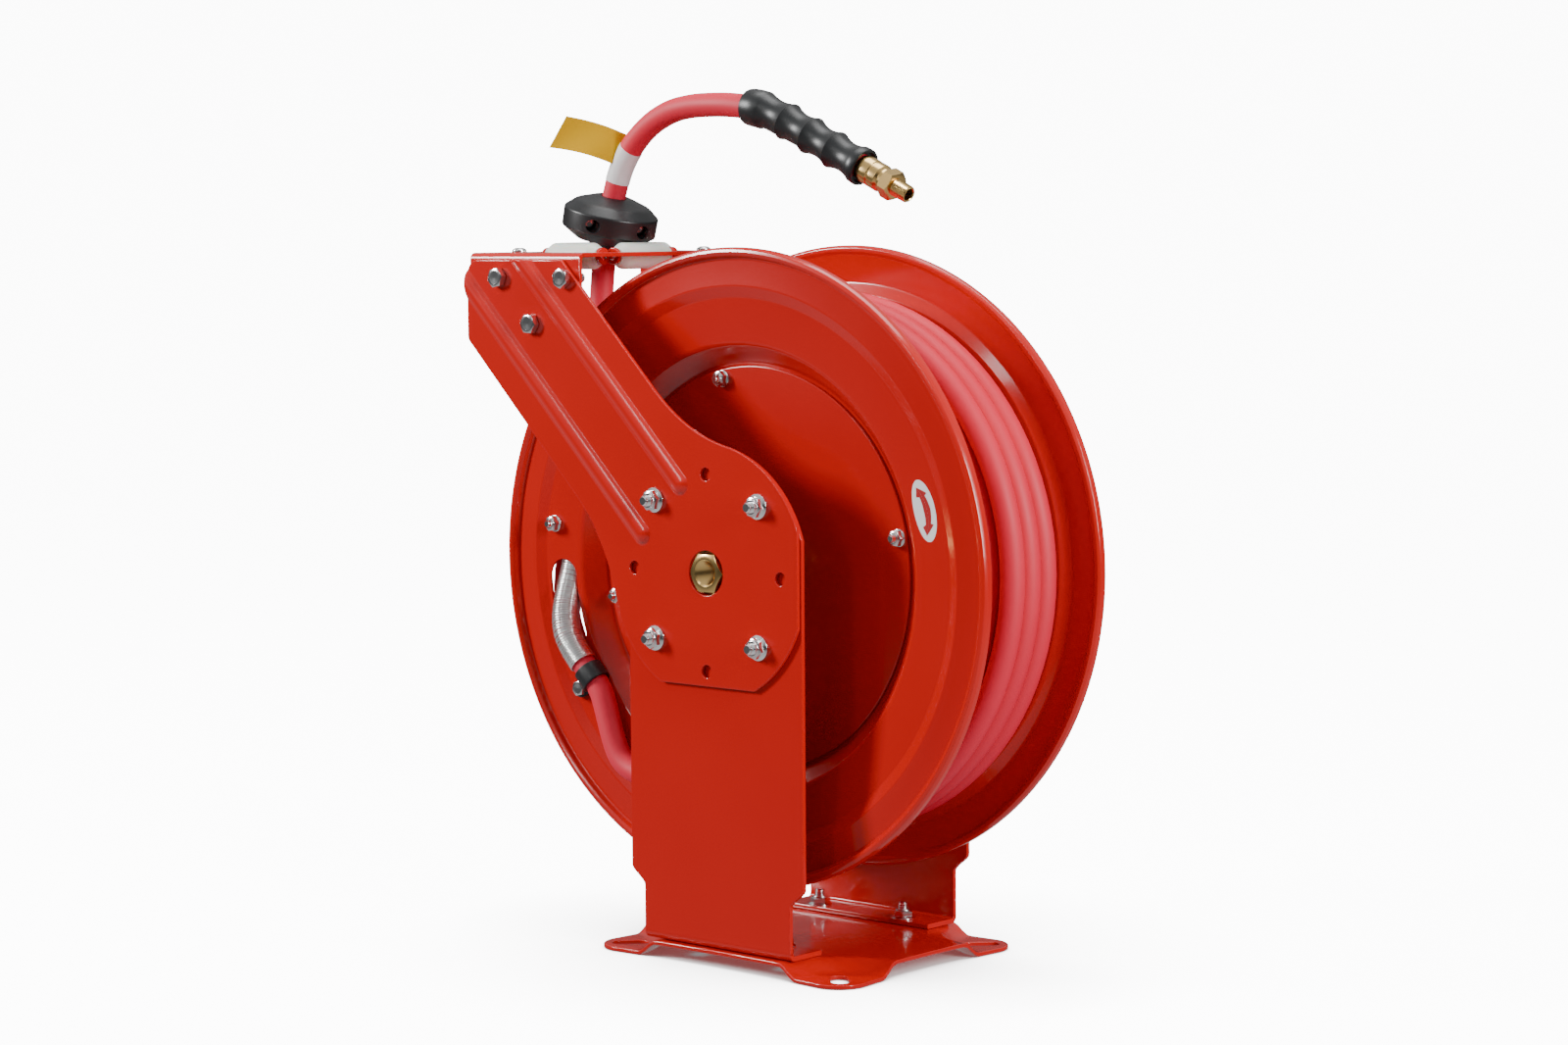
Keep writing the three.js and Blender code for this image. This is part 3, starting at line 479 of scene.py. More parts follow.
def skin_along(name, points, profile, segments=40):
    """A closed (radius, distance) outline swept round a line that lies in a plane of constant Y."""
    verts = []
    total = line_length(points)
    for radius, distance in profile:
        distance = min(max(distance, 0.001), total - 0.001)
        near = stretch(points, max(0.0, distance - 0.6), min(total, distance + 0.6))
        ahead = (near[-1] - near[0]).normalized()
        centre = stretch(points, distance, min(total, distance + 0.5))[0]
        side = Vector((0, 1, 0))
        up = side.cross(ahead)
        for i in range(segments):
            angle = 2 * math.pi * i / segments
            verts.append(centre + (up * math.cos(angle) + side * math.sin(angle)) * radius)
    return raw_mesh(name, verts, ring_faces(len(profile), segments, True))


# ---------------------------------------------------------------- camera
CAMERA_AT = (1674.9, -1905.6, 524.5 + FLOOR)
AZIMUTH, ELEVATION, ROLL = 41.5, 4.9, -0.38
FOCAL = 81.73

camera_data = bpy.data.cameras.new("camera")
camera = linked("camera", camera_data)
camera_data.sensor_width = 36
camera_data.lens = FOCAL
back = Vector((
    math.sin(AZIMUTH * DEG) * math.cos(ELEVATION * DEG),
    -math.cos(AZIMUTH * DEG) * math.cos(ELEVATION * DEG),
    math.sin(ELEVATION * DEG),
))
level = Vector((math.cos(AZIMUTH * DEG), math.sin(AZIMUTH * DEG), 0))
upright = back.cross(level)
right = level * math.cos(ROLL * DEG) + upright * math.sin(ROLL * DEG)
turn = Matrix((right, back.cross(right), back)).transposed().to_4x4()
camera.matrix_world = Matrix.Translation(place(*CAMERA_AT)) @ turn
scene.camera = camera


# ---------------------------------------------------------------- free end of the hose
HOSE = 8.75
tail_points = [
    (-187.2, -11.3, 0), (-187.3, -11.3, 35), (-188.3, -10, 80), (-190, -6.4, 125), (-191.2, -2.2, 165),
    (-190.9, -0.4, 190), (-189.2, 0, 210), (-186.3, 0, 226), (-182.3, 0, 242.5), (-177.6, 0, 262),
    (-168.6, 0, 284.5), (-155.1, 0, 302.1), (-137.5, 0, 315.6), (-117, 0, 324.1), (-98, 0, 327.2),
    (-78, 0, 327.8), (-60, 0, 327.2), (-42.4, 0, 325.4), (-32, 0, 323.9), (-21.5, 0, 321),
    (-11, 0, 316.9), (0.2, 0, 311.8), (22.4, 0, 301.2), (44.9, 0, 290.5), (64, 0, 281.4),
]
tail_line = smooth_path(tail_points)
tail = tube_curve("hose_free_end", tail_line, HOSE, RUBBER, "frame", 7)
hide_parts("hose_tail")

grip_start = (-41.6, 0, 325.4)
grip_line = smooth_path([grip_start] + tail_points[18:24] + [(66, 0, 280.4)])
grip_length = line_length(grip_line)


def grip_profile():
    """A plain collar, then broad finger hollows between rounded ridges, and an open end."""
    outline = [(8.9, 0), (11.6, 0), (12.9, 1.0), (13.5, 4), (13.7, 9), (13.7, 0.13 * grip_length)]
    hollows, first, last = 4, 0.13 * grip_length, 0.95 * grip_length
    for i in range(hollows):
        begin = first + (last - first) * i / hollows
        for k in range(1, 13):
            t = k / 12
            outline.append((13.7 - 2.7 * math.sin(math.pi * t) ** 0.85, begin + (last - first) / hollows * t))
    mouth = [(13.8, 1.2), (13.3, 0.1), (11.7, 0.1), (10.8, 3), (8.9, 3)]
    return outline + [(radius, grip_length - back_off) for radius, back_off in mouth]


grip = skin_along("grip_sleeve", grip_line, grip_profile(), 48)
finish_mesh(grip, BLACK, "frame", ["hose_grip"])

end_point = grip_line[-1]
end_way = (grip_line[-1] - grip_line[-2]).normalized()


def along_end(name, profile, start, material, nodes=()):
    obj = lathe(name, profile, end_point + end_way * start, end_way, 64)
    return finish_mesh(obj, material, "frame", nodes)


ferrule_outline = rounded([
    (6, -2), (9.0, -2), (9.0, 1, 0.4), (9.9, 1, 0.4), (9.9, 9.5, 0.5), (9.3, 10.2, 0.3), (9.3, 11.4, 0.3),
    (9.9, 12, 0.4), (9.9, 17.5, 0.8), (8.6, 19.4, 0.5), (8.6, 22), (6, 22),
])
ferrule = along_end("crimped_collar", ferrule_outline, 0.3, BRASS, ["hose_ferrule"])

fitting_hex = hex_prism(end_point + end_way * 22.6, end_way, 19.6, 0, 9.2, 12, 4.2)
finish_mesh(fitting_hex, BRASS, "frame", (), sharp=30)


def thread_outline(root, crest, start, end, pitch, inner):
    """A threaded rod's outline with its bore, tapering a little towards the end."""
    outline = [(inner, start), (root, start)]
    turns = int((end - start) / pitch)
    for i in range(turns):
        low = start + pitch * i
        taper = 1 - 0.05 * i / turns
        for radius, share in ((root, 0.1), (crest, 0.5), (root, 0.9)):
            outline.append((radius * taper, low + share * pitch))
    outline += [(root * 0.93, end), (inner + 0.5, end), (inner, end - 0.5)]
    return outline


tapered_thread = thread_outline(5.9, 6.5, 9, 22, 1.4, 4.2)
fitting_thread = along_end("fitting_thread", tapered_thread, 22.6, BRASS, ["hose_fitting"])
# A dark disc set inside the fitting's bore: painted shade standing in for the bore's dark depth, not a part of
# the fitting.
bore_shade_disc = along_end("fitting_bore_shade", [(0.01, 4), (4.3, 4), (4.3, 5), (0.01, 5)], 22.6, SHADE)

# -------- ball stop
STOP_AT = Vector((-182.3, 0, 242.5))
STOP_TILT, SPLIT_TURN = 13.6, 56.5
stop_way = Vector((math.sin(STOP_TILT * DEG), 0, math.cos(STOP_TILT * DEG)))
stop_side = Vector((math.cos(STOP_TILT * DEG), 0, -math.sin(STOP_TILT * DEG)))


def in_stop(turn_angle, reach, height):
    """A point of the ball stop from its angle round the hose, its reach and its height along the hose."""
    out = stop_side * math.cos(turn_angle * DEG) + Vector((0, 1, 0)) * math.sin(turn_angle * DEG)
    return STOP_AT + out * reach + stop_way * height


stop_outline = rounded([
    (9.3, -16.5, 0.6), (12.2, -16.8, 1.5), (15.5, -13, 2), (23.5, -12.6, 2.5), (35.0, -5.0, 1.8),
    (35.3, 9.0, 2.4), (27.5, 15.6, 12), (13.4, 20.6, 5), (11.0, 20.8, 0.8), (9.3, 20.4, 0.5),
], 6)
halves = []
for name, start in (("near_ball_stop", -180.0), ("far_ball_stop", 0.0)):
    verts = []
    steps = 48
    for i in range(steps + 1):
        angle = start + SPLIT_TURN + 180 * i / steps
        verts += [in_stop(angle, reach, height) for reach, height in stop_outline]
    size = len(stop_outline)
    faces = ring_faces(steps + 1, size)
    faces.append(tuple(range(size)))
    faces.append(tuple(reversed(range(steps * size, (steps + 1) * size))))
    half = with_outward_faces(raw_mesh(name + "_shell", verts, faces))
    middle = in_stop(start + SPLIT_TURN + 90, 1, 0) - STOP_AT
    bent(half, lambda p, push=middle: push * 0.18)
    halves.append((half, name, start + SPLIT_TURN + 90))
split_way = (in_stop(SPLIT_TURN, 1, 0) - STOP_AT).normalized()
stop_screws = []
for half, name, facing in halves:
    normal = (in_stop(facing, 1, 0) - STOP_AT).normalized()
    cutters = []
    for sign in (-1, 1):
        base_point = STOP_AT + split_way * 18.9 * sign + stop_way * 1.5
        pocket = lathe("pocket", [(0.0, 11), (4.9, 11), (4.9, 45), (0.0, 45)], base_point, normal, 32)
        cutters.append(with_outward_faces(pocket))
        outline = [(0.01, 8.5), (4.1, 8.5), (4.1, 14.4, 0.7), (2.1, 14.4, 0.2), (2.1, 12.4), (0.01, 12.4)]
        stop_screws.append(lathe("stop_screw", rounded(outline), base_point, normal, 36))
    cut_with(half, cutters)
    finish_mesh(half, BLACK, "frame", [name], sharp=32)
stop_screw_set = merged("stop_screws", stop_screws)
finish_mesh(stop_screw_set, ZINC, "frame", ())

# -------- label wrapped round the hose and its flag
hose_run = running(tail_line)


def distance_at_height(height):
    return min(
        (abs(p.z - height), run) for p, run in zip(tail_line, hose_run) if run < 0.75 * hose_run[-1]
    )[1]


label_from, label_to = distance_at_height(273.5), distance_at_height(298.5)
label_line = stretch(tail_line, label_from, label_to)
label_length = line_length(label_line)
label_rings = [0.02 + (label_length - 0.04) * i / 14 for i in range(15)]
label_outline = [(HOSE + 0.35, d) for d in label_rings] + [(HOSE + 0.05, d) for d in reversed(label_rings)]
label = skin_along("white_label", label_line, label_outline, 48)
finish_mesh(label, WHITE, "frame")


def flag_point(along, across, lift=0.0):
    """A point of the tag: along runs away from the hose and across runs up its width."""
    root = Vector((-161.5, 2, 293.5))
    out = -level * along * 54 + Vector((0, 0, 1)) * (17 * along + (across - 0.5) * (20 + 3 * along))
    out += level * (across - 0.5) * 13
    wave = 2.2 * math.sin(2.6 * along * math.pi / 2) + 1.2 * math.sin(5 * along + 2 * across)
    toward = Vector((math.sin(AZIMUTH * DEG), -math.cos(AZIMUTH * DEG), 0))
    return root + out + toward * (wave + lift) + Vector((0, 0, 1)) * 2.5 * math.sin(math.pi * along)


def flag_sheet(name, corners, material, lift, steps=16, thick=0.12):
    """A thin piece of the tag between four (along, across) corners, following its wave."""
    verts, faces = [], []
    for side in (lift, lift - thick):
        for i in range(steps + 1):
            for j in range(steps + 1):
                s, t = i / steps, j / steps
                a = [
                    corners[0][k] * (1 - s) * (1 - t) + corners[1][k] * s * (1 - t)
                    + corners[2][k] * s * t + corners[3][k] * (1 - s) * t
                    for k in (0, 1)
                ]
                verts.append(flag_point(a[0], a[1], side))
    row = steps + 1
    layer = row * row
    for i in range(steps):
        for j in range(steps):
            a, b, c, d = i * row + j, (i + 1) * row + j, (i + 1) * row + j + 1, i * row + j + 1
            faces.append((a, b, c, d))
            faces.append((layer + d, layer + c, layer + b, layer + a))
    rim = list(range(row)) + [i * row + steps for i in range(1, row)]
    rim += [steps * row + j for j in range(steps - 1, -1, -1)] + [i * row for i in range(steps - 1, 0, -1)]
    for a, b in zip(rim, rim[1:] + rim[:1]):
        faces.append((a, b, layer + b, layer + a))
    obj = raw_mesh(name, verts, faces)
    return finish_mesh(obj, material, "frame")


tag = flag_sheet("yellow_tag", [(0, 0), (1, 0), (1, 1), (0, 1)], YELLOW, 0.0)

cord_pieces = [grip, ferrule, fitting_hex, fitting_thread, bore_shade_disc, label, tag, stop_screw_set]
cord_pieces += [half for half, _, _ in halves]


# ---------------------------------------------------------------- wound hose and the lead
ROWS = [(169.3, y) for y in (-43.75, -26.25, -8.75, 8.75, 26.25, 43.75)]
ROWS += [(186.0, y) for y in (42.0, 24.5, 7.0)] + [(187.2, -11.3)]


def wound_line():
    """From the opening in the near flange round the upper layers to where the free end leaves."""
    points = []
    last = 360 * (len(ROWS) - 1)
    for turned in range(24, last, 4):
        radius, y = ROWS[0]
        for k in range(len(ROWS) - 1):
            middle = 360 * (k + 1) + (12 if k == 0 else -24)
            share = min(1, max(0, (turned - middle + 24) / 48))
            ease = share * share * (3 - 2 * share)
            radius += (ROWS[k + 1][0] - ROWS[k][0]) * ease
            y += (ROWS[k + 1][1] - ROWS[k][1]) * ease
        radius += 23 * math.exp(-(((turned - 347) / 27) ** 2))
        angle = 180 - turned
        fade = min(1, max(0, (last - turned) / 120))
        if turned > 2160:
            swing = math.cos((angle + 20) * DEG) * fade * min(1, (turned - 2160) / 120)
            radius += 2.5 * swing
            y += 3.0 * swing
        y += 0.5 * math.sin(3 * turned * DEG + turned / 500) * fade
        x, z = polar(radius, angle)
        points.append((x, y, z))
    points.append((-187.2, -11.3, -0.4))
    return points


lead_points = [(0, -70, -46.9), (0, -70, -84.85)]
for angle in (-25, -50, -75, -100, -122):
    x, z = polar(70, angle)
    lead_points.append((x - 70, -70, z - 84.85))
lead_polar = [
    (160, 217, -70), (161, 212, -70), (164.5, 208, -70), (168.5, 203.5, -70), (171.5, 199.8, -69.3),
    (173.4, 196.5, -66.8), (174.6, 193, -62.3), (175.2, 189.5, -56.6), (175.2, 186, -51.4),
    (174.4, 182, -47.6), (172.8, 177, -45.2), (170.8, 170, -44),
]
for radius, angle, y in lead_polar:
    x, z = polar(radius, angle)
    lead_points.append((x, y, z))
lead_line = smooth_path(lead_points)
wound = tube_curve("wound_hose", lead_line[:-1] + [Vector(p) for p in wound_line()], HOSE, RUBBER, "drum", 5)
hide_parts("hose_coil", "hose_lead")

inner_turns = []
for row in (-35, -17.5, 0, 17.5, 35):
    for step in range(0, 60):
        x, z = polar(154.2, -6 * step)
        inner_turns.append((x, row + 17.5 * min(1, max(0, (step - 52) / 8)), z))
inner_layer = tube_curve("inner_hose_layer", [Vector(p) for p in inner_turns[:-8]], HOSE, RUBBER, "drum", 3)

lead_run = running(lead_line)


def lead_distance(angle):
    """How far along the lead it passes a polar angle."""
    best = None
    for p, run in zip(lead_line, lead_run):
        turned = math.degrees(math.atan2(p.z, p.x)) % 360
        if run > 200 and (best is None or abs(turned - angle) < best[0]):
            best = (abs(turned - angle), run)
    return best[1]


def coil_spring(points, radius, pitch):
    """A close-wound spring round a line, as sampled points."""
    total = line_length(points)
    turns = total / pitch
    count = int(turns * 14)
    out = []
    samples = stretch(points, 0, total)
    run = running(samples)
    at = 0
    for i in range(count + 1):
        distance = min(total * 0.9999, total * i / count)
        while at < len(samples) - 2 and run[at + 1] < distance:
            at += 1
        a, b = samples[at], samples[at + 1]
        centre = a.lerp(b, (distance - run[at]) / max(1e-6, run[at + 1] - run[at]))
        ahead = (b - a).normalized()
        side = ahead.cross(Vector((0, 1, 0))).normalized()
        up = side.cross(ahead)
        angle = 2 * math.pi * turns * i / count
        out.append(centre + (side * math.cos(angle) + up * math.sin(angle)) * radius)
    return out


guard_line = stretch(lead_line, lead_distance(208.4), lead_distance(178))
guard = tube_curve("spring_guard_wire", coil_spring(guard_line, 9.75, 1.9), 0.85, WIRE, "drum", 2)
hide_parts("spring_guard")

# -------- clamp on the lead
CLAMP_ANGLE = 212
clamp_at = lead_distance(CLAMP_ANGLE)
clamp_span = stretch(lead_line, clamp_at - 6.5, clamp_at + 6.5)
clamp_centre = stretch(lead_line, clamp_at, clamp_at + 1)[0]
clamp_way = (clamp_span[-1] - clamp_span[0]).normalized()
clamp_ring = rounded([(8.9, -6.6, 0.6), (10.9, -6.6, 0.7), (10.9, 6.6, 0.7), (8.9, 6.6, 0.6)])
clamp_loop = lathe("clamp_loop", clamp_ring, clamp_centre, clamp_way, 64)
bolt_x, bolt_z = polar(182, CLAMP_ANGLE)
radial = Vector((math.cos(CLAMP_ANGLE * DEG), 0, math.sin(CLAMP_ANGLE * DEG)))
around = Vector((-math.sin(CLAMP_ANGLE * DEG), 0, math.cos(CLAMP_ANGLE * DEG)))


def clamp_tab():
    outline = [(169.5, -6.5), (183, -6.5)] + arc((183, 0), 6.5, -90, 90, 12)[1:] + [(169.5, 6.5)]
    loops = []
    for y in (-61.5, -63.7):
        loops.append([radial * r + around * t + Vector((0, y, 0)) for r, t in outline])
    return prism("clamp_tab", *loops)


clamp = merged("hose_clamp_band", [clamp_loop, clamp_tab()])
finish_mesh(clamp, BLACK, "drum", ["hose_clamp"])


# ---------------------------------------------------------------- fasteners
def thread_end(centre, axis, radius, start, end):
    """The end of a threaded shank, with its grooves and a small chamfer."""
    outline = [(0.01, start)]
    pitch = 1.25
    turns = max(1, int((end - start - 1) / pitch))
    for i in range(turns):
        low = start + pitch * i
        outline += [(radius * 0.88, low), (radius, low + pitch * 0.5)]
    outline += [(radius * 0.88, start + turns * pitch), (radius * 0.9, end - 0.9)]
    outline += [(radius * 0.7, end), (0.01, end)]
    return lathe("thread", outline, centre, axis, 32)


def washer(centre, axis, outer, thick, start=0.0):
    outline = [(0.01, start), (outer, start, 0.3), (outer, start + thick, 0.5), (0.01, start + thick)]
    return lathe("washer", rounded(outline), centre, axis, 48)


def flange_nut(centre, axis, turn, end, flats=13, collar=8.9, height=6.5, radius=3.95):
    """A flanged lock nut on a threaded end."""
    skirt = rounded([(0.01, 0), (collar, 0, 0.3), (collar, 1.0, 0.4), (flats * 0.52, 2.4, 0.4), (0.01, 2.4)])
    pieces = [lathe("skirt", skirt, centre, axis, 64)]
    pieces.append(hex_nut(Vector(centre) + Vector(axis) * 0.9, axis, flats, height - 1.6, turn))
    rim = flats * 0.44
    lock = rounded([(0.01, height - 1), (rim, height - 1), (rim, height + 0.6, 1.2), (0.01, height + 0.6)])
    pieces.append(lathe("lock", lock, centre, axis, 48))
    pieces.append(thread_end(centre, axis, radius, height, end))
    return pieces


def bolt_head(centre, axis, turn, flats=13, height=5.3):
    """A hexagon head with a washer face under it and a dished top."""
    centre = Vector(centre)
    pieces = [washer(centre, axis, flats * 0.47, 0.5)]
    pieces.append(hex_prism(centre, axis, flats, 0.4, height, turn, flats * 0.36, False))
    dish = rounded([(0.01, 0.5), (flats * 0.37, 0.5), (flats * 0.37, height - 0.05), (0.01, height - 0.3)])
    pieces.append(lathe("dish", dish, centre, axis, 40))
    return pieces


def shank(centre, axis, radius, start, end):
    return lathe("shank", [(0.01, start), (radius, start), (radius, end), (0.01, end)], centre, axis, 24)


sides = (("near", -1), ("far", 1))
for name, side in sides:
    way = Vector((0, side, 0))
    for i in range(4):
        node = f"{name}_arm_bolt_{i + 1}"
        c = node_centre(node)
        seat = Vector((c.x, 95.2 * side, c.z))
        inner = Vector((c.x, 88.0 * side, c.z))
        pieces = flange_nut(seat, way, 17 * i + 8 * side, 12.0)
        pieces += bolt_head(inner, -way, 31 * i) + [shank(inner, way, 3.9, -0.5, 8)]
        finish_mesh(merged(node + "_zinc", pieces), ZINC, "frame", [node])
    for i in range(3):
        node = f"{name}_bracket_bolt_{i + 1}"
        c = node_centre(node)
        seat = Vector((c.x, 95.2 * side, c.z))
        inner = Vector((c.x, 88.5 * side, c.z))
        pieces = bolt_head(seat, way, 23 * i + 11)
        pieces += flange_nut(inner, -way, 19 * i, 12.0) + [shank(inner, way, 3.9, -0.5, 8)]
        finish_mesh(merged(node + "_zinc", pieces), ZINC, "frame", [node])
    for i in range(2):
        node = f"{name}_base_bolt_{i + 1}"
        c = node_centre(node)
        up = Vector((0, 0, 1))
        top = Vector((c.x, c.y, FLOOR + 15.9))
        bottom = Vector((c.x, c.y, FLOOR + 8.8))
        pieces = flange_nut(top, up, 29 * i + 10 * side, 12.2)
        pieces += bolt_head(bottom, -up, 13 * i) + [shank(bottom, up, 3.9, -0.5, 8)]
        finish_mesh(merged(node + "_zinc", pieces), ZINC, "frame", [node])

near_way = Vector((0, -1, 0))
seat = Vector((bolt_x, -63.8, bolt_z))
clamp_pieces = bolt_head(seat, near_way, 12, 10, 4.0) + [shank(seat, near_way, 2.9, -5.4, 1)]
finish_mesh(merged("clamp_bolt_zinc", clamp_pieces), ZINC, "drum", ["clamp_bolt"])


def small_nut(radius, angle, out, turn, side):
    """An M6 nut, its washer and the end of its screw, on a face square to the drum's axis."""
    x, z = polar(radius, angle)
    centre = Vector((x, side * out, z))
    way = Vector((0, side, 0))
    pieces = [washer(centre, way, 6.2, 1.1)]
    pieces.append(hex_nut(centre + way * 1.1, way, 10, 4.6, turn))
    lock = rounded([(0.01, 5.2), (4.3, 5.2), (4.3, 6.6, 0.8), (0.01, 6.6)])
    pieces.append(lathe("lock", lock, centre, way, 40))
    pieces.append(thread_end(centre, way, 2.9, 6.2, 9.4))
    return pieces


disc_nuts = []
for name, side in sides:
    for i, angle in enumerate((12, 102, 192, 282)):
        disc_nuts += small_nut(136, angle, 44.9, 21 * i, side)
disc_nuts += small_nut(184, 172.8, 60.2, 8, -1)
finish_mesh(merged("drum_nuts", disc_nuts), ZINC, "drum", ())


# ---------------------------------------------------------------- drum
def flange_outline(side):
    outline = rounded([
        (126, 42.7), (144.5, 42.7, 3.5), (158, 58, 7), (191, 61, 4), (199, 64.5, 4), (218.6, 62.6, 2.2),
        (219.8, 66.6, 2.0), (222.2, 68.0, 1.6), (224.9, 67.2, 1.4), (226, 64.6, 1.6), (226, 60.6, 1.4),
        (224.2, 58.7, 1.2), (221.6, 58.7, 1.0), (219.4, 60.4, 1.6),
        (199.3, 62.4, 4), (191.3, 58.9, 4), (158.9, 55.9, 5), (145.9, 40.7, 3), (126, 40.7),
    ], 6)
    return [(r, side * u) for r, u in outline]


def oval_cutter():
    inner, outer = 176 - 12.5, 176 + 12.5
    outline = arc((0, 0), outer, 185, 199.5, 10)
    outline += arc(polar(176, 199.5), 12.5, 199.5, 379.5, 14)[1:]
    outline += arc((0, 0), inner, 199.5, 185, 10)[1:]
    outline += arc(polar(176, 185), 12.5, 365, 545, 14)[1:-1]
    inside, outside = ([(x, y, z) for x, z in outline] for y in (-50, -75))
    return with_outward_faces(prism("oval", inside, outside))


for name, side in sides:
    shell = with_outward_faces(lathe(name + "_flange_shell", flange_outline(side), (0, 0, 0), "y", 200))
    if side < 0:
        cut_with(shell, [oval_cutter()])
    finish_mesh(shell, PAINT, "drum", [name + "_flange"], sharp=44)
    disc = rounded([(16.5, 43.1), (16.5, 45.0, 0.3), (142.6, 45.0, 0.9), (142.6, 43.1, 0.9)])
    plate = lathe(name + "_disc_plate", [(r, side * u) for r, u in disc], (0, 0, 0), "y", 160)
    finish_mesh(plate, PAINT, "drum", [name + "_drum_disc"])


def band_height(radius):
    return 58 + (radius - 158) * 3 / 33


def on_band(across, tangent, lift):
    """A point just over the near flange's band, from its offsets out from and round the sticker's middle."""
    radius = 175 + across
    x, z = polar(radius, 16.5 + tangent / 175 / DEG)
    return x, -(band_height(radius) + lift), z


def band_patch(name, rings, lift, material):
    """A thin patch on the band from rings of (across, tangent) points, each a closed loop round the last."""
    verts = [on_band(a, t, lift) for ring in rings for a, t in ring]
    obj = raw_mesh(name, verts, ring_faces(len(rings), len(rings[0])))
    return finish_mesh(obj, material, "drum")


oval_rings = []
for k in range(9):
    share = max(0.001, k / 8)
    turns = [i * 6 * DEG for i in range(60)]
    oval_rings.append([(10 * share * math.cos(a), 21.5 * share * math.sin(a)) for a in turns])
band_patch("turn_sticker", oval_rings, 0.14, WHITE)


def arrow_rings():
    """A bowed arrow with a head at each end, as thin loops from its middle line outwards."""
    spine, widths = [], []
    for i in range(33):
        t = -1 + i / 16
        spine.append((4.6 * (1 - t * t) - 2.2, 17 * t))
        if abs(t) > 0.62:
            widths.append(5.2 * (1 - abs(t)) / 0.38)
        else:
            widths.append(1.9 + 1.3 * (1 - abs(t)))
    rings = []
    for share in (0.01, 0.5, 1.0):
        right_side = [(a + w * share, t) for (a, t), w in zip(spine, widths)]
        left_side = [(a - w * share, t) for (a, t), w in zip(spine, widths)]
        rings.append(right_side + left_side[::-1])
    return rings


band_patch("turn_arrow", arrow_rings(), 0.24, ARROW)

outlet = rounded([(13.5, -79, 0.6), (21, -79, 1.2), (21, -64, 1.2), (13.5, -64, 0.6)])
outlet_ring = lathe("outlet_ring", outlet, (0, 0, 0), "y", 64)
stub = rounded([
    (0.01, -15), (10.3, -15), (10.3, -26, 0.4), (9.6, -27, 0.3), (9.6, -30, 0.3), (10.4, -31, 0.3),
    (10.4, -46.6, 0.8), (0.01, -46.6),
])
outlet_stub = lathe("outlet_stub", stub, (0, -70, 0), "z", 48)
outlet_brass = merged("swivel_outlet_brass", [outlet_ring, outlet_stub])
finish_mesh(outlet_brass, BRASS, "drum", ["swivel_outlet"])

# ---------------------------------------------------------------- swivel inlet and axle nut
inlet_hex = hex_prism((0, -88.0, 0), near_way, 26.4, 0, 8.0, 0, 9.7, False, True)
grooves = []
for i in range(14):
    grooves += [(9.7 if i == 0 else 9.3 - 0.03 * i, -0.05 - 1.5 * i), (8.5 - 0.03 * i, -0.8 - 1.5 * i)]
thread_wall = grooves + [(8.2, -22), (0.01, -22), (0.01, -23), (12.9, -23), (12.9, -8.2), (9.72, -8.2)]
inlet_bore = lathe("inlet_bore", thread_wall, (0, -96, 0), near_way, 64)
collar = rounded([(12.5, 0), (19, 0, 0.5), (19, 3, 0.8), (13, 3), (13, 25.8), (12.5, 25.8)])
spigot = lathe("inlet_spigot", collar, (0, -87.9, 0), (0, 1, 0), 64)
inlet_brass = merged("swivel_inlet_brass", [inlet_hex, inlet_bore, spigot])
finish_mesh(inlet_brass, BRASS, "frame", ["swivel_inlet"])

far_way = Vector((0, 1, 0))
nut_pieces = [hex_nut((0, 95.2, 0), far_way, 26.4, 8, 10, 9.2), washer((0, 94.9, 0), far_way, 13.0, 0.5)]
finish_mesh(merged("axle_nut_zinc", nut_pieces), ZINC, "frame", ["axle_nut"])
axle_tip = thread_end((0, 95, 0), far_way, 9.0, 0.2, 9.0)
finish_mesh(axle_tip, STEEL, "frame", ())


# ---------------------------------------------------------------- guide arms
ARM = {"reach": 236.5, "top": 216.8, "corner": 13, "hub": 91, "right": 84.5, "foot": 79.5}
ARM["half"] = 55 * math.sqrt(2)


def arm_outline():
    right_angle = math.degrees(math.acos(ARM["right"] / ARM["hub"]))
    foot_angle = math.degrees(math.asin(ARM["foot"] / ARM["hub"]))
    reach, top, half, corner = ARM["reach"], ARM["top"], ARM["half"], ARM["corner"]
    start = (-125, 125 - half)
    left = polar(ARM["hub"], 204)
    crown = polar(ARM["hub"], 78)
    neck = (half - 127.8, 127.8)
    outline = [(-reach, reach - half), start]
    outline += quad(start, (start[0] + 29, start[1] - 29), left, 14)
    outline += arc((0, 0), ARM["hub"], 204, 180 + foot_angle, 14)
    outline += arc((0, 0), ARM["hub"], 360 - foot_angle, 360 - right_angle, 16)
    outline += arc((0, 0), ARM["hub"], right_angle, 78, 26)
    bend = (crown[0] - 39.1 * math.sin(78 * DEG), crown[1] + 39.1 * math.cos(78 * DEG))
    outline += quad(crown, bend, neck, 14) + [neck, (half - top, top)]
    corner_start, corner_end = (-reach + corner, top), (-reach, top - corner)
    outline += [corner_start] + quad(corner_start, (-reach, top), corner_end, 10) + [corner_end]
    return rounded([outline[0] + (6,)] + outline[1:], 5)


ARM_WAY = Vector((-1, 0, 1)).normalized()
ARM_ACROSS = Vector((1, 0, 1)).normalized()
BEAD = {"offset": 26.0, "half": 8.6, "height": 3.6, "start": 52.0}


def bead_rise(along, across):
    """How far the sheet is pressed outwards by the two long beads at a place on the arm."""
    rise = 0.0
    for offset in (-BEAD["offset"], BEAD["offset"]):
        centre = BEAD["start"] + BEAD["half"]
        off = abs(across - offset)
        if along < centre:
            off = math.hypot(across - offset, along - centre)
        share = off / BEAD["half"]
        if share < 0.72:
            rise = max(rise, BEAD["height"] * (1 - 1.12 * share * share))
        elif share < 1:
            rise = max(rise, BEAD["height"] * 0.4194 * ((1 - share) / 0.28) ** 2)
    return rise


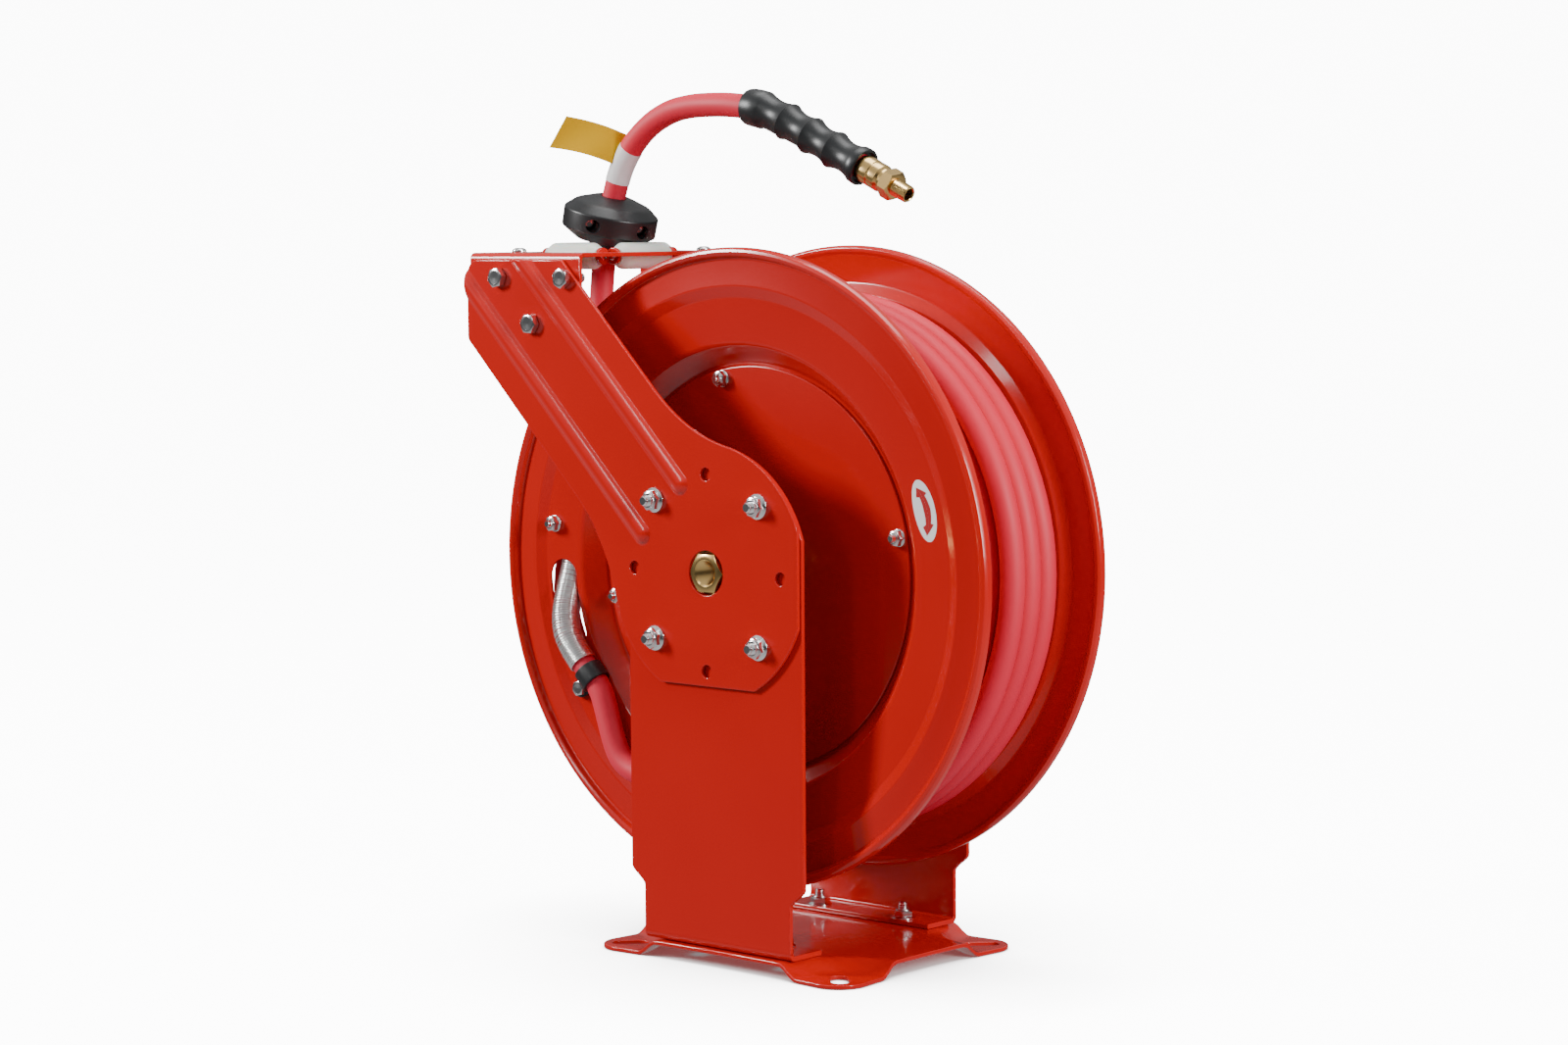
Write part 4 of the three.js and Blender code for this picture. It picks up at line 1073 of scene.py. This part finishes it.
def arm_planes():
    planes = []
    for offset in (-BEAD["offset"], BEAD["offset"]):
        for k in range(-14, 15):
            t = offset + BEAD["half"] * k / 14
            planes.append((tuple(ARM_ACROSS * t), ARM_ACROSS))
    for k in range(0, 16):
        s = BEAD["start"] + BEAD["half"] * k / 14
        planes.append((tuple(ARM_WAY * s), ARM_WAY))
    return planes


BOLT_CIRCLE, BOLT_HOLE, HUB_HOLE = 69, 4.6, 15.8
arm_bolt_spots = [polar(BOLT_CIRCLE, 45 + 90 * i) for i in range(4)]
empty_spots = [polar(BOLT_CIRCLE, 90 * i) for i in range(4)]
bracket_spots = [(-169 - 33.25, 204), (-169 + 33.25, 204), (-169, 171)]
for name, side in sides:
    holes = [circle(0, 0, HUB_HOLE, 48)]
    holes += [circle(x, z, BOLT_HOLE) for x, z in arm_bolt_spots + empty_spots + bracket_spots]
    low, high = (92, 95) if side > 0 else (-95, -92)
    sheet = outline_plate(name + "_arm_sheet", arm_outline(), holes, low, high, "xz", 0.55)
    sliced(sheet, arm_planes())
    bent(sheet, lambda p, s=side: Vector((0, s * bead_rise(p.dot(ARM_WAY), p.dot(ARM_ACROSS)), 0)))
    finish_mesh(sheet, PAINT, "frame", [name + "_guide_arm"], weighted=True)


# ---------------------------------------------------------------- pedestals
def folded_strip(name, section, xs, ease, middle, side):
    """A bent strip of sheet: its (out, up) section run along X, drawn in by ease towards middle at both ends."""
    verts = []
    for x, inward in zip(xs, (ease, 0, 0, ease)):
        for u, z in section:
            du, dz = u - middle[0], z - middle[1]
            size = max(1e-6, math.hypot(du, dz))
            verts.append((x, side * (u - inward * du / size), z - inward * dz / size))
    count = len(section)
    faces = ring_faces(4, count) + [tuple(range(count)), tuple(range(3 * count, 4 * count))]
    return raw_mesh(name, verts, faces)


def bend_arc(centre, radius, angles):
    """Points of a bend's round in (out, up), by angle from straight up towards straight out."""
    return [(centre[0] + radius * math.sin(a * DEG), centre[1] + radius * math.cos(a * DEG)) for a in angles]


def pedestal_outline():
    radius = 89.5
    left, right_edge = 4 - 81.5, 4 + 81.5
    neck_left, neck_right = 4 - 69, 4 + 69
    low, high = FLOOR + 50, FLOOR + 64
    foot = FLOOR + 12.4 + 5
    outline = [(neck_left, foot), (neck_right, foot), (neck_right, low - 4)]

    def shoulder(a, b, way):
        """An S-curve from a up to b; way is +1 going up and -1 coming down."""
        out = []
        for i in range(15):
            t = i / 14
            ease = t * t * (3 - 2 * t)
            out.append((a[0] + (b[0] - a[0]) * ease, a[1] + (b[1] - a[1]) * t))
        return out if way > 0 else out[::-1]

    outline += shoulder((neck_right, low), (right_edge, high), 1)
    right_angle = math.degrees(math.acos(right_edge / radius))
    left_angle = math.degrees(math.acos(left / radius))
    outline += arc((0, 0), radius, right_angle, left_angle, 40)
    outline += shoulder((neck_left, low), (left, high), -1)
    return outline


def pedestal_foot(name, side):
    """The bent bottom of the pedestal: the bend and the flange that lies on the base."""
    outer, thick = 91.7, 3.5
    foot = FLOOR + 12.4
    outline = [(outer, foot + 5.6)]
    outline += bend_arc((outer - 5, foot + 5), 5, range(90, 181, 9))
    outline += [(58.6, foot), (58.1, foot + 0.6), (58.1, foot + thick - 0.6), (58.6, foot + thick)]
    outline += [(outer - 5, foot + thick)]
    outline += bend_arc((outer - 5, foot + 5), 1.5, range(180, 89, -15))
    outline += [(outer - thick, foot + 5.6)]
    xs = (4 - 69, 4 - 68.4, 4 + 68.4, 4 + 69)
    return folded_strip(name + "_foot", outline, xs, 0.35, (outer - 17, foot + 1.7), side)


for name, side in sides:
    holes = [circle(0, 0, HUB_HOLE, 48)] + [circle(x, z, BOLT_HOLE) for x, z in arm_bolt_spots]
    low, high = (88.2, 91.7) if side > 0 else (-91.7, -88.2)
    sheet = outline_plate(name + "_pedestal_sheet", pedestal_outline(), holes, low, high, "xz", 0.55)
    whole = merged(name + "_pedestal_steel", [sheet, pedestal_foot(name, side)])
    finish_mesh(whole, PAINT, "frame", [name + "_pedestal"], weighted=True)


# ---------------------------------------------------------------- base plate
BASE = {"offset": 7.0, "x": 119.6, "y": 98.5, "raise": 9.0, "corner": 22.0, "waist": 4.0}
PAD, RAMP = 45.0, 61.0
signs = ((1, -1), (1, 1), (-1, 1), (-1, -1))
corners = [(BASE["offset"] + sx * BASE["x"], sy * BASE["y"]) for sx, sy in signs]


def base_outline():
    radius, waist = BASE["corner"], BASE["waist"]
    outline = []
    for i in range(4):
        def centre(k):
            sx, sy = signs[k % 4]
            return (BASE["offset"] + sx * (BASE["x"] - radius), sy * (BASE["y"] - radius))
        start = -90 + 90 * i
        outline += arc(centre(i), radius, start, start + 90, 16)
        ahead = (round(math.cos((start + 90) * DEG)), round(math.sin((start + 90) * DEG)))
        here = outline[-1]
        following = (centre(i + 1)[0] + radius * ahead[0], centre(i + 1)[1] + radius * ahead[1])
        pull = (BASE["offset"] + ahead[0] * (BASE["x"] - 2 * waist), ahead[1] * (BASE["y"] - 2 * waist))
        outline += quad(here, pull, following, 18)
    return outline


def slot_outline(corner):
    sx = -1 if corner[0] > BASE["offset"] else 1
    sy = -1 if corner[1] > 0 else 1
    angle = math.degrees(math.atan2(sy, sx))
    ends = [(corner[0] + sx * d / math.sqrt(2), corner[1] + sy * d / math.sqrt(2)) for d in (21.8, 35.2)]
    return arc(ends[0], 6.3, angle + 90, angle + 270, 12) + arc(ends[1], 6.3, angle - 90, angle + 90, 12)


def base_rise(x, y):
    away = min(math.hypot(x - cx, y - cy) for cx, cy in corners)
    share = min(1, max(0, (away - PAD) / (RAMP - PAD)))
    return BASE["raise"] * share * share * (3 - 2 * share)


base_holes = [slot_outline(c) for c in corners]
base_holes += [circle(4 + sx * 40, sy * 66, BOLT_HOLE, 20) for sx in (-1, 1) for sy in (-1, 1)]
base_sheet = outline_plate("base_sheet", base_outline(), base_holes, FLOOR + 0.02, FLOOR + 3.02, "xy", 0.8)
grid = [((BASE["offset"] + BASE["x"] * k / 28, 0, 0), Vector((1, 0, 0))) for k in range(-27, 28)]
grid += [((0, BASE["y"] * k / 24, 0), Vector((0, 1, 0))) for k in range(-23, 24)]
sliced(base_sheet, grid)
bent(base_sheet, lambda p: Vector((0, 0, base_rise(p.x, p.y))))
finish_mesh(base_sheet, PAINT, "frame", ["base_plate"], weighted=True)


# ---------------------------------------------------------------- roller bracket
GUIDE_X, ROLLER_Z = -182.0, 219.0
BRACKET_LEFT, BRACKET_RIGHT, BRACKET_TOP, BRACKET_OUT = -236.5, -123.5, 222, 91.7


def plus_outline():
    a, b = 26.7, 48.3
    c, d = 43.3, 27.7
    corner = 2.0
    half = [(-a, -b), (a, -b), (a, -d), (c, -d), (c, d), (a, d)]
    loop = half + [(-x, -y) for x, y in half]
    return [(GUIDE_X + x, y) for x, y in rounded([p + (corner,) for p in loop], 3)]


def bracket_cheek(name, side):
    left, right_edge = BRACKET_LEFT, BRACKET_RIGHT
    top, slope, low = BRACKET_TOP - 4.2, BRACKET_TOP - 30, BRACKET_TOP - 67
    corners_of = [(left, top), (left, slope, 8), (-188, low, 8), (-150, low, 8)]
    corners_of += [(right_edge, slope, 8), (right_edge, top)]
    holes = [circle(x, z, BOLT_HOLE) for x, z in bracket_spots]
    lo, hi = (88.7, 91.7) if side > 0 else (-91.7, -88.7)
    return outline_plate(name, rounded(corners_of, 4), holes, lo, hi, "xz", 0.5)


def bracket_bend(side):
    """The rounded bend between the bracket's top and its cheek."""
    centre = (BRACKET_OUT - 4.5, BRACKET_TOP - 4.5)
    outline = bend_arc(centre, 4.5, range(0, 91, 9)) + bend_arc(centre, 1.5, range(90, -1, -15))
    xs = (BRACKET_LEFT, BRACKET_LEFT + 0.5, BRACKET_RIGHT - 0.5, BRACKET_RIGHT)
    return folded_strip("bend", outline, xs, 0.3, (88.5, 218.9), side)


ends = ((BRACKET_LEFT, -1), (BRACKET_RIGHT, -1), (BRACKET_RIGHT, 1), (BRACKET_LEFT, 1))
top_outline = [(x, 87.3 * side) for x, side in ends]
bracket_pieces = [outline_plate("bracket_top", top_outline, [plus_outline()], 219, 222, "xy", 0.5)]
for name, side in sides:
    bracket_pieces += [bracket_cheek("cheek", side), bracket_bend(side)]
for sx in (-1, 1):
    for sy in (-1, 1):
        ear_x = rounded([(0.01, 0), (6.2, 0, 0.6), (6.2, 3, 0.6), (0.01, 3)])
        at = Vector((GUIDE_X + sx * 26.5, sy * 37, ROLLER_Z))
        bracket_pieces.append(lathe("ear", ear_x, at, (sx, 0, 0), 36))
        at = Vector((GUIDE_X + sx * 32, sy * 27.6, ROLLER_Z))
        bracket_pieces.append(lathe("ear", ear_x, at, (0, sy, 0), 36))
bracket = merged("bracket_steel", bracket_pieces)
finish_mesh(bracket, PAINT, "frame", ["roller_bracket"], weighted=True)

screw_heads = []
for x, y in ((-220, -57), (-140, 57)):
    pan = [(0.01, 0), (5.4, 0, 0.4), (5.2, 1.9, 1.2), (3.2, 3.1, 1.2), (1.9, 3.3), (1.7, 2.2), (0.01, 2.2)]
    screw_heads.append(lathe("pan", rounded(pan), (x, y, BRACKET_TOP), "z", 40))
finish_mesh(merged("bracket_screws", screw_heads), ZINC, "frame", ())


def roller_outline(half):
    return rounded([
        (2.95, -half + 0.2, 0.3), (6.6, -half + 0.2, 0.8), (7.4, -half + 2.2, 0.6), (9.75, -half + 6.5, 2.5),
        (9.75, half - 6.5, 2.5), (7.4, half - 2.2, 0.6), (6.6, half - 0.2, 0.8), (2.95, half - 0.2, 0.3),
    ], 4)


def pin_outline(half):
    return rounded([
        (0.01, -half - 0.6), (2.6, -half - 0.6, 0.6), (3.3, -half + 0.1, 0.3), (2.35, -half + 0.2),
        (2.35, half - 0.2), (3.3, half - 0.1, 0.3), (2.6, half + 0.6, 0.6), (0.01, half + 0.6),
    ], 3)


for node, axis, half in (("left", "y", 27), ("right", "y", 27), ("front", "x", 26), ("rear", "x", 26)):
    centre = node_centre(node + "_roller")
    wheel = lathe(node + "_roller_nylon", roller_outline(half), centre, axis, 56)
    finish_mesh(wheel, NYLON, node + "_roller", [node + "_roller"])
    pin = lathe(node + "_pin_steel", pin_outline(half + 3.3), centre, axis, 32)
    finish_mesh(pin, ZINC, "frame", [node + "_roller_pin"])


# ---------------------------------------------------------------- ratchet and pawl
def ratchet_teeth():
    outline = []
    for i in range(12):
        base_angle = 84 + 30 * i
        outline += [polar(41, base_angle), polar(41.6, base_angle + 1.5)]
        outline += [polar(41 + 7 * k / 6, base_angle + 27 * k / 6) for k in range(2, 7)]
    holes = [circle(0, 0, 16.8, 48)]
    return outline_plate("teeth", outline, holes, 70.1, 75.9, "xz", 0.4)


boss = rounded([(16.8, 45.5), (30, 45.5, 0.5), (30, 70.2, 1.2), (16.8, 70.2)])
ratchet_pieces = [ratchet_teeth(), lathe("boss", boss, (0, 0, 0), "y", 64)]
ratchet = merged("ratchet_steel", ratchet_pieces)
finish_mesh(ratchet, STEEL, "drum", ["ratchet_wheel"], weighted=True)

pawl_x, pawl_z = polar(70, 112.5)
pawl_rest = -20.8


def pawl_sheet():
    outline = [(37, -0.6), (36, 2.4), (20, 5.6)] + arc((0, 0), 8, 60, 290, 28) + [(20, -3.6)]
    turned_out = []
    for u, v in rounded([p + ((1.0,) if i in (0, 1) else ()) for i, p in enumerate(outline)], 3):
        c, s = math.cos(pawl_rest * DEG), math.sin(pawl_rest * DEG)
        turned_out.append((pawl_x + u * c - v * s, pawl_z + u * s + v * c))
    return outline_plate("pawl_steel", turned_out, [circle(pawl_x, pawl_z, 4.4)], 70.8, 75.2, "xz", 0.5)


finish_mesh(pawl_sheet(), STEEL, "pawl", ["pawl"], weighted=True)

spring_turns = []
for i in range(0, 4 * 20 + 1):
    x, z = polar(5.6, 18 * i)
    spring_turns.append(Vector((pawl_x + x, 78.2 + 0.075 * i, pawl_z + z)))
spring_turns.append(spring_turns[-1] + Vector((6, 0, 6)))
pawl_spring = tube_curve("pawl_spring_wire", spring_turns, 0.6, WIRE, "frame", 2)


# ---------------------------------------------------------------- floor, backdrop and light
def backdrop():
    """A pale floor that curves up all round into a wall. It glows evenly, and less where the reel comes near,
    which is a painted contact shadow; only the camera sees it: it neither lights the reel nor shows in it."""
    outline = [(0.0, 0.0), (0.3, 0.0), (0.8, 0.0), (2.0, 0.0), (5.0, 0.0)]
    outline += [(5 + 2 * math.sin(a * DEG), 2 - 2 * math.cos(a * DEG)) for a in range(6, 91, 6)]
    outline += [(7.0, 7.0)]
    verts, faces = [], []
    for i in range(96):
        for reach, height in outline:
            angle = 2 * math.pi * i / 96
            verts.append((reach * math.cos(angle), reach * math.sin(angle), height - 0.0004))
    count = len(outline)
    for i in range(96):
        j = (i + 1) % 96
        for k in range(count - 1):
            faces.append((i * count + k, j * count + k, j * count + k + 1, i * count + k + 1))
    mesh = bpy.data.meshes.new("backdrop")
    mesh.from_pydata(verts, [], faces)

    def face_up(bm):
        bmesh.ops.remove_doubles(bm, verts=bm.verts, dist=1e-6)
        bmesh.ops.recalc_face_normals(bm, faces=bm.faces)
        if sum(face.normal.z for face in bm.faces) < 0:
            bmesh.ops.reverse_faces(bm, faces=bm.faces)

    reshaped(mesh, face_up)
    mesh.shade_smooth()
    obj = linked("backdrop", mesh)
    material = bpy.data.materials.new("backdrop")
    material.use_nodes = True
    nodes = material.node_tree.nodes
    links = material.node_tree.links
    surface = nodes["Principled BSDF"]
    set_inputs(surface, Base_Color=(0.9, 0.9, 0.9, 1), Roughness=0.8, Specular_IOR_Level=0.0)
    set_inputs(surface, Emission_Color=(1, 1, 1, 1))
    # Ambient occlusion dims the floor's glow near the reel: this is the painted contact shadow.
    near = nodes.new("ShaderNodeAmbientOcclusion")
    near.samples = 16
    near.inputs["Distance"].default_value = 0.22
    painted_shadow_glow = nodes.new("ShaderNodeMapRange")
    set_inputs(painted_shadow_glow, From_Min=0.25, To_Min=0.05, To_Max=11.0)
    links.new(near.outputs["AO"], painted_shadow_glow.inputs["Value"])
    links.new(painted_shadow_glow.outputs["Result"], surface.inputs["Emission Strength"])
    mesh.materials.append(material)
    obj.visible_diffuse = False
    obj.visible_glossy = False
    obj.visible_transmission = False
    obj.visible_shadow = False
    return obj


backdrop()
world = bpy.data.worlds.new("studio")
scene.world = world
world.use_nodes = True
sky = world.node_tree.nodes
sky_links = world.node_tree.links
where = sky.new("ShaderNodeTexCoord")
split = sky.new("ShaderNodeSeparateXYZ")
ramp = sky.new("ShaderNodeValToRGB")
sky_links.new(where.outputs["Generated"], split.inputs["Vector"])
lift = sky.new("ShaderNodeMapRange")
lift.inputs["From Min"].default_value = -1.0
sky_links.new(split.outputs["Z"], lift.inputs["Value"])
sky_links.new(lift.outputs["Result"], ramp.inputs["Fac"])
ramp.color_ramp.elements[0].position = 0.0
ramp.color_ramp.elements[0].color = (0.75, 0.75, 0.75, 1)
ramp.color_ramp.elements[1].position = 1.0
ramp.color_ramp.elements[1].color = (0.9, 0.9, 0.9, 1)
for position, value in ((0.33, 0.45), (0.44, 0.07), (0.56, 0.07), (0.72, 0.5)):
    stop_here = ramp.color_ramp.elements.new(position)
    stop_here.color = (value, value, value, 1)
sky_links.new(ramp.outputs["Color"], sky["Background"].inputs["Color"])
sky["Background"].inputs["Strength"].default_value = 0.8


def softbox(name, where, target, size, power):
    light = bpy.data.lights.new(name, "AREA")
    light.shape = "RECTANGLE"
    light.size, light.size_y = size
    light.energy = power
    obj = linked(name, light)
    obj.location = where
    obj.rotation_mode = "QUATERNION"
    obj.rotation_quaternion = (Vector(target) - Vector(where)).to_track_quat("-Z", "Y")
    return obj


middle = (0, 0, 0.3)
softbox("left", (-2.1, -1.9, 1.5), middle, (0.5, 0.9), 105)
softbox("right", (2.5, -0.2, 1.1), middle, (0.4, 1.3), 72)
softbox("front", (-0.3, -2.9, 1.9), middle, (0.3, 0.9), 8)
softbox("top", (0.0, 0.2, 2.4), middle, (1.4, 1.2), 30)
